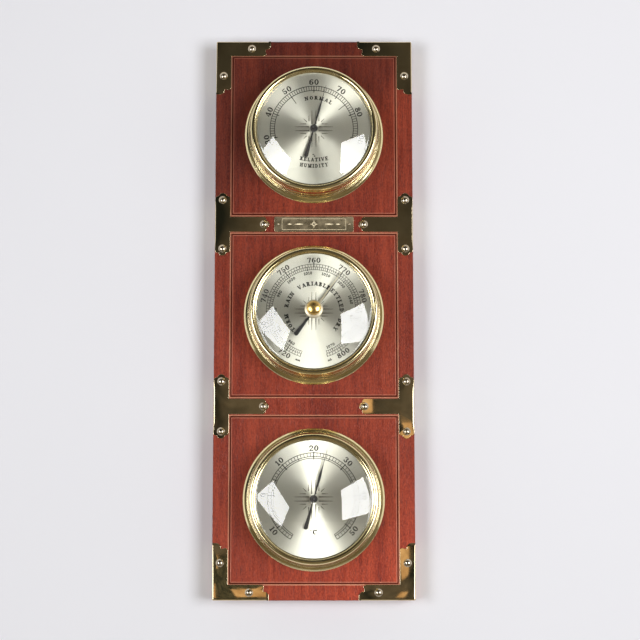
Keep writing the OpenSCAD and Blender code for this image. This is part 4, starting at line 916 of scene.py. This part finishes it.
class BAROMETER_OT_nails(bpy.types.Operator):
    """Sets a domed nail at every hole of the brass plates and a pin at each end of the name plate"""

    bl_idname = "barometer.nails"
    bl_label = "Nails and pins"

    def execute(self, context):
        tree = nail_tree()
        board_seat = seat_at((board_high.z + board_low.z) / 2)
        radius = settings("brass").nail_radius / MM
        pins = [(s * 25.9, 0, 0.8) for s in (-1, 1)]
        for name, node, head, places, seat in (
            ("domed_nail_heads", "plate_nails", nail_head(radius, 1.5, 28, 7), nail_places(), board_seat),
            ("name_plate_pin_heads", "name_plate_pins", nail_head(0.9, 0.54, 20, 5), pins, NAME_SEAT),
        ):
            nail = bpy.data.objects.new("template", head.mesh("template", Matrix.Identity(4)))
            carrier = bpy.data.meshes.new("places")
            carrier.from_pydata(places, [], [])
            made = run_tree(tree, carrier, {"Nail": nail, "Finish": FINISHES["nail_brass"]})
            made.transform(seat)
            make_piece(made, name, "nail_brass", crease=40)
            bpy.data.objects.remove(nail)
            dress("nail_brass", node)
        return {"FINISHED"}


class BAROMETER_OT_name_plate(bpy.types.Operator):
    """Lays a fine border, small marks and a plain compass figure on the blank name plate"""

    bl_idname = "barometer.name_plate"
    bl_label = "Name plate"

    def execute(self, context):
        softened_copy("rounded_name_plate", "name_plate", "name_brass", 0.00016)
        shape = Shape()
        low, high = 0.79, 0.815
        half_w, half_h, line = 23.4, 4.0, 0.1
        for s in (-1, 1):
            shape.prism([(s * (half_w - 2 * line), -half_h), (s * half_w, -half_h), (s * half_w, half_h),
                         (s * (half_w - 2 * line), half_h)], low, high)
            shape.prism([(-half_w, s * (half_h - line)), (half_w, s * (half_h - line)),
                         (half_w, s * (half_h + line)), (-half_w, s * (half_h + line))], low, high)
            for x0, x1 in ((7.5, 14.5), (16.0, 19.5)):
                middle = s * (x0 + x1) / 2
                shape.prism([(s * x0, 0), (middle, 0.55), (s * x1, 0), (middle, -0.55)], low, high)
        for k in range(8):
            reach = 3.2 if k % 2 == 0 else 1.8
            shape.prism(rotated([(-0.45, 0.5), (0, reach), (0.45, 0.5), (0, 0)], k * 45), low, high)
        print_piece(shape, "name_plate_engraving", NAME_SEAT, "engraved")
        return {"FINISHED"}


class BAROMETER_OT_hanger(bpy.types.Operator):
    """Finishes the keyhole hanger and its screws on the back"""

    bl_idname = "barometer.hanger"
    bl_label = "Hanger"

    def execute(self, context):
        dress("hanger_brass", "hanger_plate")
        dress("screw_steel", "hanger_screws")
        return {"FINISHED"}


class BAROMETER_OT_cases(bpy.types.Operator):
    """Spins the three cases, with flange, hollow curve, beads and ridge, and finishes what they hold"""

    bl_idname = "barometer.cases"
    bl_label = "Cases"

    def execute(self, context):
        bead, ridge, floor = 0.45, 0.8, 1.2
        outline = [(POCKET_R, 0), (FLANGE_R - 0.2, 0), (FLANGE_R, 0.2), (FLANGE_R, 0.3)]
        outline += [(FLANGE_R - d, 0.3025 + 1.1 * d - 0.25 * d * d) for d in (0.1, 0.3, 0.5, 0.7, 0.9, 1.1)]
        hollow = arc((57.63, 17.81), 18.26, 244.6, 238, 8)
        outline += hollow + [(48.0, 3.4)] + arc((47.55, 3.5), bead, 0, 90, 8) + [(47.3, 3.95)]
        outline += arc((46.85, 4.6), bead, 0, 90, 8) + [(46.6, 5.05), (46.55, 7.7)]
        outline += arc((BARREL_R + ridge, 8.2), ridge, -30, 90, 12)
        outline += [(BARREL_R, 9), (BARREL_R, RIM_H - 0.45), (BARREL_R - 0.15, RIM_H - 0.3),
                    (BARREL_IN_R + 0.15, RIM_H - 0.3), (BARREL_IN_R, RIM_H - 0.45)]
        outline += [(BARREL_IN_R, floor), (POCKET_R, floor)]
        for name in NAMES:
            spin_piece(outline, 192, name + "_spun_case", name, "polished_brass", 30,
                       node=name + "_case")
            dress("cup_steel", name + "_back_cup")
            dress("black_ring", name + "_spacer_ring")
        dress("screw_steel", "case_screws")
        return {"FINISHED"}


class BAROMETER_OT_bezels(bpy.types.Operator):
    """Spins the three rolled bezels with their skirt and lip"""

    bl_idname = "barometer.bezels"
    bl_label = "Bezels"

    def execute(self, context):
        skirt = arc((45.55, 10.4), 0.7, -135.6, 31, 12)
        roll = arc((43.95, RIM_H - 0.45), 2.3, -17, 145.5, 30)
        lip = [(LIP_R + 0.2, RIM_H + 0.75), (LIP_R + 0.05, RIM_H + 0.7), (LIP_R, RIM_H + 0.6), (LIP_R, RIM_H)]
        outline = skirt + roll + lip + [(BARREL_R + 0.05, RIM_H)]
        for name in NAMES:
            spin_piece(outline, 192, name + "_rolled_bezel", name, "polished_brass", 34,
                       node=name + "_bezel")
        return {"FINISHED"}


class BAROMETER_OT_lenses(bpy.types.Operator):
    """Spins the three domed glasses, the barometer's with the hole for its bush"""

    bl_idname = "barometer.lenses"
    bl_label = "Domed glasses"

    def execute(self, context):
        centre, dome_r = (0, -75.77), 105.07
        for name in NAMES:
            hole = 2.03 if name == "barometer" else 0
            faces = []
            for radius, reach in ((dome_r, LIP_R), (dome_r - GLASS_T, 41.03)):
                far = math.degrees(math.acos(reach / radius))
                near = math.degrees(math.acos(hole / radius))
                faces.append(arc(centre, radius, near, far, 26))
            if not hole:
                faces = [[(0, face[0][1])] + face[1:] for face in faces]
            outline = faces[0] + [(41.5, RIM_H), (GLASS_R, RIM_H), (GLASS_R, DIAL_H)] + faces[1][::-1]
            spin_piece(outline, 144, name + "_domed_glass", name, "dome_glass", 25, bool(hole),
                       node=name + "_lens")
        dress("polished_brass", "barometer_lens_bush")
        return {"FINISHED"}


class BAROMETER_OT_dials(bpy.types.Operator):
    """Makes the three silvered dial plates, brushed from the middle outwards"""

    bl_idname = "barometer.dials"
    bl_label = "Dial plates"

    def execute(self, context):
        for name in NAMES:
            hole = 1.6 if name == "barometer" else 1.83
            back = DIAL_H - 0.6
            outline = [(r, DIAL_H) for r in (hole, 4, 8, 14, 20, 26, 32, 38, 43.6)]
            outline += [(GLASS_R, DIAL_H - 0.1), (GLASS_R, back), (hole, back)]
            piece = spin_piece(outline, 144, name + "_silvered_dial", name, name + "_silver",
                               32, node=name + "_dial")
            self.wrap(piece.data, DIAL_SEAT[name].inverted())
        dress("polished_brass", "dial_bushes")
        return {"FINISHED"}

    def wrap(self, mesh, to_dial):
        """A UV map that runs round the dial, which the brushed finish follows."""
        layer = mesh.uv_layers.new(name="round")
        places = [to_dial @ vertex.co for vertex in mesh.vertices]
        for face in mesh.polygons:
            centre = to_dial @ face.center
            middle = math.atan2(centre.y, centre.x)
            for corner in face.loop_indices:
                x, y, _ = places[mesh.loops[corner].vertex_index]
                turn = math.atan2(y, x)
                turn += 2 * math.pi * round((middle - turn) / (2 * math.pi))
                layer.data[corner].uv = (turn / (2 * math.pi), math.hypot(x, y) / GLASS_R)


class BAROMETER_OT_prints(bpy.types.Operator):
    """Prints ticks, numbers, words and the star on the three dials"""

    bl_idname = "barometer.prints"
    bl_label = "Dial prints"

    def execute(self, context):
        tree = tick_tree()
        w = settings("dial").tick_width / MM
        tall = settings("dial").number_height / MM
        for name, scale in zip(NAMES, (self.humidity, self.pressure, self.warmth)):
            marks, rays = Shape(), Shape()
            scale(marks, tree, w, tall)
            star(rays)
            print_piece(marks, name + "_dial_print", DIAL_SEAT[name], "print_ink")
            print_piece(rays, name + "_dial_star", DIAL_SEAT[name], "star_ink")
        return {"FINISHED"}

    def rings(self, shape, radii, half_width, end, steps):
        for radius in radii:
            shape.mark(band(radius - half_width, radius + half_width, -end, end, steps))

    def humidity(self, shape, tree, w, tall):
        per_cent, top = 3.45, 60
        inner, outer = 28.4, 31.6
        end = 30 * per_cent
        self.rings(shape, (outer, inner), w / 2, end, 120)
        tick_rows(shape, tree, (61, inner, outer, -end, end, w * 0.8), (7, 26.9, outer, -end, end, w * 1.3))
        for value in (50, 75):
            turn = (value - top) * per_cent
            tick_rows(shape, tree, (2, 22.6, outer, turn, turn, w))
        for value in range(30, 100, 10):
            write_round(shape, str(value), 34.7, (value - top) * per_cent, tall, 1.18, 0.1)
        write_round(shape, "NORMAL", 23.0, 8.6, 2.7, 1.2, 0.3)
        write_line(shape, "%", (0, -19.6), 2.2)
        write_round(shape, "RELATIVE", 44, 180, 2.75, 1.06, 0.2, True, 21.2)
        write_round(shape, "HUMIDITY", 44, 180, 2.75, 0.96, 0.27, True, 16.6)

    def pressure(self, shape, tree, w, tall):
        per_mm, per_mb, top_mm, top_mb = 3.63, 2.72, 760, 1013.25
        inner, middle, outer = 29.8, 31.8, 33.8
        end = 45 * per_mm
        self.rings(shape, (outer, middle, inner), w * 0.35, end, 150)
        tick_rows(shape, tree, (91, middle, outer, -end, end, w * 0.8), (19, middle, 34.2, -end, end, w),
                  (9, middle, 34.7, -40 * per_mm, 40 * per_mm, w * 1.4))
        for value in range(720, 810, 10):
            turn = (value - top_mm) * per_mm
            write_round(shape, str(value), 36.7, turn, tall * 0.9, 1.2, 0.09, abs(turn) > 120)
        low = (953 - top_mb) * per_mb
        tick_rows(shape, tree, (121, inner, middle, low, low + 120 * per_mb, w * 0.75),
                  (12, 29.1, middle, low + 7 * per_mb, low + 117 * per_mb, w * 1.2))
        for value in range(960, 1080, 10):
            turn = (value - top_mb) * per_mb
            for shift in (-0.09, 0.09):
                write_round(shape, str(value), 27.5 + shift, turn + shift, 2.0, 1.1, 0.12, abs(turn) > 120)
        for text, turn in (("STORM", -120), ("RAIN", -65), ("VARIABLE", 0), ("SETTLED", 61), ("DRY", 120)):
            write_round(shape, text, 19.8, turn, 2.95, 1.15, 0.22)
        for text, turn in (("mm", -162), ("mb", 162)):
            write_round(shape, text, 36.6, turn, 1.7, 1.0, 0.1, True)

    def warmth(self, shape, tree, w, tall):
        per_degree, top = 4.275, 20
        inner, middle, outer = 28.5, 29.7, 32.3
        end = 35 * per_degree
        self.rings(shape, (outer, middle, inner), w / 2, end, 150)
        tick_rows(shape, tree, (71, middle, outer, -end, end, w * 0.8), (15, inner, outer, -end, end, w),
                  (7, 27.4, 33.0, -30 * per_degree, 30 * per_degree, w * 1.3))
        for value in range(-10, 60, 10):
            turn = (value - top) * per_degree
            write_round(shape, str(abs(value)), 35.6, turn, tall * 0.95, 1.2, 0.1, abs(turn) > 120)
        write_line(shape, "°C", (-0.3, -23.0), 3.4)


class BAROMETER_OT_pointers(bpy.types.Operator):
    """Finishes the black pointers, the spindles and the brass set hand"""

    bl_idname = "barometer.pointers"
    bl_label = "Pointers"

    def execute(self, context):
        for name in NAMES:
            dress("black_hand", name + "_pointer")
            dress("spindle_steel", name + "_spindle")
        dress("hand_brass", "barometer_set_hand")
        return {"FINISHED"}


class BAROMETER_OT_set_knob(bpy.types.Operator):
    """Turns the set hand's ball knob with its collar and shaft"""

    bl_idname = "barometer.set_knob"
    bl_label = "Set knob"

    def execute(self, context):
        collar = [(0, 22.7), (0.85, 22.7), (1, 22.85), (1, 30.0), (6.0, 30.0), (6.35, 30.12), (6.55, 30.3)]
        collar += [(6.6, 30.47), (6.5, 30.68), (6.13, 30.93), (4.4, 31.15), (3.0, 31.32), (0, 31.38)]
        head = [(0, 31.3), (2.5, 31.3), (2.62, 31.42)]
        head += arc((0, 35.85), 5.15, -59.2, 0, 16)[1:]
        head += arc((2.95, 35.85), 2.2, 0, 66.2, 12)[1:]
        head += arc((0, 29.173), 9.5, 66.2, 90, 10)[1:-1] + [(0, 38.673)]
        for name, outline, finish, node in (("turned_set_knob", head, "gilt", "barometer_set_knob"),
                                            ("set_knob_collar", collar, "hand_brass", None)):
            spin_piece(outline, 96, name, "barometer", finish, 50, False, "set_hand_body",
                       node)
        return {"FINISHED"}


class BAROMETER_OT_movements(bpy.types.Operator):
    """Finishes the coil movements and the aneroid movement behind the dials"""

    bl_idname = "barometer.movements"
    bl_label = "Movements"

    def execute(self, context):
        yellow = ("base_plate", "adjusting_screw", "pillars", "frame", "bridge", "lever", "rocker", "sector")
        bright = ("base_screws", "spring_screws", "hairspring", "main_spring")
        dress("movement_brass", *["barometer_" + part for part in yellow])
        dress("screw_steel", *["barometer_" + part for part in bright])
        self.capsule()
        for name in ("hygrometer", "thermometer"):
            dress("movement_brass", name + "_bridge")
            dress("screw_steel", name + "_coil")
        return {"FINISHED"}

    def capsule(self):
        """A copy of the waved box with its own mesh and the capsule finish, standing for the CAD node; in the
        instrument the box gives a little as the air presses on it, so its post stays under the lever, but
        this copy keeps its shape.
        """
        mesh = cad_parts["barometer_capsule"].data.copy()
        piece = make_piece(mesh, "aneroid_capsule", "capsule_silver", crease=0,
                           node="barometer_capsule")
        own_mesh(piece)


class BAROMETER_OT_stage(bpy.types.Operator):
    """Sets the camera, the wall, the floor, the room, two soft boxes and the room's light"""

    bl_idname = "barometer.stage"
    bl_label = "Stage"

    def execute(self, context):
        self.camera()
        self.wall()
        self.floor()
        self.dark_room()
        self.warm_cards()
        self.dark_card()
        self.room_light()
        stage = settings("stage")
        self.soft_box("right_soft_box", (0.897, -1.389, -0.279), (0.50, 0.79, 0.34), (0.13, -0.46, 0.88),
                      0.76, 0.84, stage.right_lamp)
        self.soft_box("left_soft_box", (-0.847, -1.404, -0.385), (0.34, -0.55, -0.77), (0.05, -0.80, 0.59),
                      0.86, 0.67, stage.left_lamp)
        return {"FINISHED"}

    def camera(self):
        """Stands at the photograph's place, a little below the board's middle."""
        camera = new_object("camera", bpy.data.cameras.new("camera"))
        camera.data.lens = 89.42
        camera.data.sensor_width = 36
        camera.location = (0.00235, -1.1638, -0.34104)
        camera.rotation_euler = (math.radians(97.515), 0, math.radians(-0.105))
        camera.data.clip_start = 0.05
        bpy.context.scene.camera = camera
        bpy.context.scene.view_settings.view_transform = "Standard"

    def stage_piece(self, name, mesh, finish, seen=True):
        mesh.materials.append(finish)
        piece = new_object(name, mesh)
        piece.visible_camera = seen

    def sheet(self, name, corners, finish, seen=True):
        mesh = bpy.data.meshes.new(name)
        mesh.from_pydata(corners, [], [(0, 1, 2, 3)])
        self.stage_piece(name, mesh, finish, seen)

    def card(self, name, x0, x1, y, z0, z1, finish):
        """An upright sheet across the room, which only the brass shows."""
        self.sheet(name, [(x0, y, z0), (x0, y, z1), (x1, y, z1), (x1, y, z0)], finish, False)

    HALF_ROOM = 3
    FLOOR_Z = -1.5
    CEILING_Z = 2.5

    def wall(self):
        """A painted wall that is clear from behind and from close by, so that the back is seen and lit."""
        f = Finish("wall_paint")
        colour = tuple(settings("stage").wall_colour)
        f.set(Base_Color=f.mix(f.cloud(7, 3.0), shaded(colour, 0.98), colour), Roughness=0.9,
              Specular_IOR_Level=0.1)
        behind = f.node("ShaderNodeNewGeometry").outputs["Backfacing"]
        close = f.math("LESS_THAN", f.node("ShaderNodeLightPath").outputs["Ray Length"], 0.004)
        f.clear_where(f.math("MAXIMUM", behind, close))
        w, y, low, high = self.HALF_ROOM, 0.0004, self.FLOOR_Z, self.CEILING_Z
        self.sheet("wall", [(-w, y, low), (w, y, low), (w, y, high), (-w, y, high)], f.material)

    def floor(self):
        """A floor that is pale near the wall and has a mottled rug before it."""
        f = Finish("floor_paint")
        ahead = f.times(f.split(f.mapped((1, 1, 1)))["Y"], -1.0)
        colour = f.mix(f.cloud(5, 3.0), (0.22, 0.18, 0.095), (0.30, 0.24, 0.13))
        rug = f.ramp(f.cloud(9, 3.0), (0.40, (0.05, 0.045, 0.03)), (0.50, (0.13, 0.085, 0.045)),
                     (0.60, (0.34, 0.27, 0.16)))
        colour = f.mix(f.grey(ahead, (0.5, 1.0), (0.98, 0.0)), colour, rug)
        colour = f.mix(f.grey(ahead, (0.34, 1.0), (0.42, 0.0)), colour, (0.88, 0.86, 0.82))
        f.set(Base_Color=colour, Roughness=0.8)
        w, z, front, back = self.HALF_ROOM, self.FLOOR_Z, -4, 1
        self.sheet("floor", [(-w, front, z), (w, front, z), (w, back, z), (-w, back, z)], f.material)

    def dark_room(self):
        """A glowing dome with the room's light painted into its glow, which brass shows: dark in front, warm
        below, lit walls at its sides.
        """
        f = Finish("dark_room")
        seat = DIAL_SEAT["barometer"]
        heading = f.heading(f.mapped((1, 1, 1), tuple(-c for c in seat.translation)))
        way = f.split(heading)
        ahead = f.times(way["Y"], -1.0)
        drop = f.grey(f.plus(way["Z"], 0.2), (0.20, 1.0), (0.42, 0.0))
        mottle = f.times(f.minus(f.noise(heading, 55.0, 3.0), 0.42), drop)
        level = f.plus(f.noise(heading, 7.0), f.times(mottle, 1.2))
        level = f.plus(level, f.times(way["X"], 0.8))
        colour = f.ramp(level, (0.40, (0.014, 0.016, 0.013)), (0.52, (0.068, 0.059, 0.042)),
                        (0.75, (0.14, 0.115, 0.08)))
        below = f.grey(f.times(way["Z"], -1.0), (0.16, 0.0), (0.42, 1.0))
        colour = f.mix(below, colour, (0.17, 0.140, 0.075))
        drift = f.grey(f.noise(heading, 3.1, 1.0), (0.42, 0.0), (0.62, 1.0))
        side = f.times(f.grey(ahead, (0.50, 1.0), (0.78, 0.0)), drift)
        colour = f.mix(side, colour, (0.26, 0.215, 0.12))
        colour = f.mix(f.grey(ahead, (0.36, 1.0), (0.42, 0.0)), colour, (1.0, 0.985, 0.95))
        shape = Shape()
        shape.lathe(arc((0, 0), 4000, 0, 89.9, 24), 48, False)
        self.stage_piece("room_dome", shape.mesh("room_dome", seat), f.glow(colour), False)

    def warm_cards(self):
        """Small glowing cards across the room, painted light that stands for lamp-lit things; the lower
        plates show them as warm reflected patches.
        """
        f = Finish("warm_card")
        finish = f.glow(f.ramp(f.cloud((30, 1, 30)), (0.35, (0.62, 0.36, 0.16)), (0.6, (0.86, 0.56, 0.28))))
        for x0, x1, z0, z1 in ((-0.192, -0.108, -0.506, -0.470), (-0.252, -0.231, -0.432, -0.401),
                               (-0.250, -0.238, -0.506, -0.472), (0.194, 0.230, -0.140, -0.091),
                               (0.092, 0.134, -0.070, -0.028), (0.188, 0.212, -0.445, -0.376),
                               (0.196, 0.214, -0.506, -0.484)):
            self.card("warm_card", x0, x1, -2.6, z0, z1, finish)

    def dark_card(self):
        """A dimly glowing card, painted shade that stands for a dim corner across the room, which the plate
        at the lower left shows.
        """
        f = Finish("dark_card")
        mottle = f.cloud((120, 1, 120), 3.0)
        finish = f.glow(f.ramp(mottle, (0.40, (0.024, 0.028, 0.020)), (0.62, (0.115, 0.105, 0.066))))
        self.card("dark_card", -0.30, -0.135, -2.62, -0.56, -0.40, finish)

    def room_light(self):
        world = bpy.data.worlds.new("room")
        world.use_nodes = True
        light = world.node_tree.nodes["Background"].inputs
        light["Color"].default_value = (*DAYLIGHT, 1)
        light["Strength"].default_value = settings("stage").sky
        bpy.context.scene.world = world

    def soft_box(self, name, place, across, up, width, height, power):
        lamp = bpy.data.lights.new(name, "AREA")
        lamp.shape = "RECTANGLE"
        lamp.size = width
        lamp.size_y = height
        lamp.energy = power
        lamp.color = DAYLIGHT
        box = new_object(name, lamp)
        across = Vector(across).normalized()
        away = across.cross(Vector(up)).normalized()
        turn = Matrix((across, away.cross(across), away)).transposed().to_4x4()
        box.matrix_world = Matrix.Translation(place) @ turn
        box.visible_camera = False


class BAROMETER_PT_panel(bpy.types.Panel):
    bl_label = "Wall barometer"
    bl_idname = "BAROMETER_PT_panel"
    bl_space_type = "VIEW_3D"
    bl_region_type = "UI"
    bl_category = "Barometer"

    def draw(self, context):
        for name in GROUPS:
            box = self.layout.box()
            group = settings(name)
            for key in group.__annotations__:
                box.prop(group, key)
        for operator in OPERATORS:
            self.layout.operator(operator.bl_idname)


GROUPS = {"board": BoardSettings, "brass": BrassSettings, "dial": DialSettings, "stage": StageSettings}
OPERATORS = (
    BAROMETER_OT_board, BAROMETER_OT_plates, BAROMETER_OT_nails, BAROMETER_OT_name_plate, BAROMETER_OT_hanger,
    BAROMETER_OT_cases, BAROMETER_OT_bezels, BAROMETER_OT_lenses, BAROMETER_OT_dials, BAROMETER_OT_prints,
    BAROMETER_OT_pointers, BAROMETER_OT_set_knob, BAROMETER_OT_movements, BAROMETER_OT_stage,
)
CLASSES = (*GROUPS.values(), *OPERATORS, BAROMETER_PT_panel)


def register():
    for cls in CLASSES:
        bpy.utils.register_class(cls)
    for name, group in GROUPS.items():
        setattr(bpy.types.Scene, "barometer_" + name, bpy.props.PointerProperty(type=group))


def unregister():
    for name in GROUPS:
        delattr(bpy.types.Scene, "barometer_" + name)
    for cls in reversed(CLASSES):
        bpy.utils.unregister_class(cls)


def main():
    register()
    for operator in OPERATORS:
        getattr(bpy.ops.barometer, operator.bl_idname.split(".")[1])()


if __name__ == "__main__":
    main()
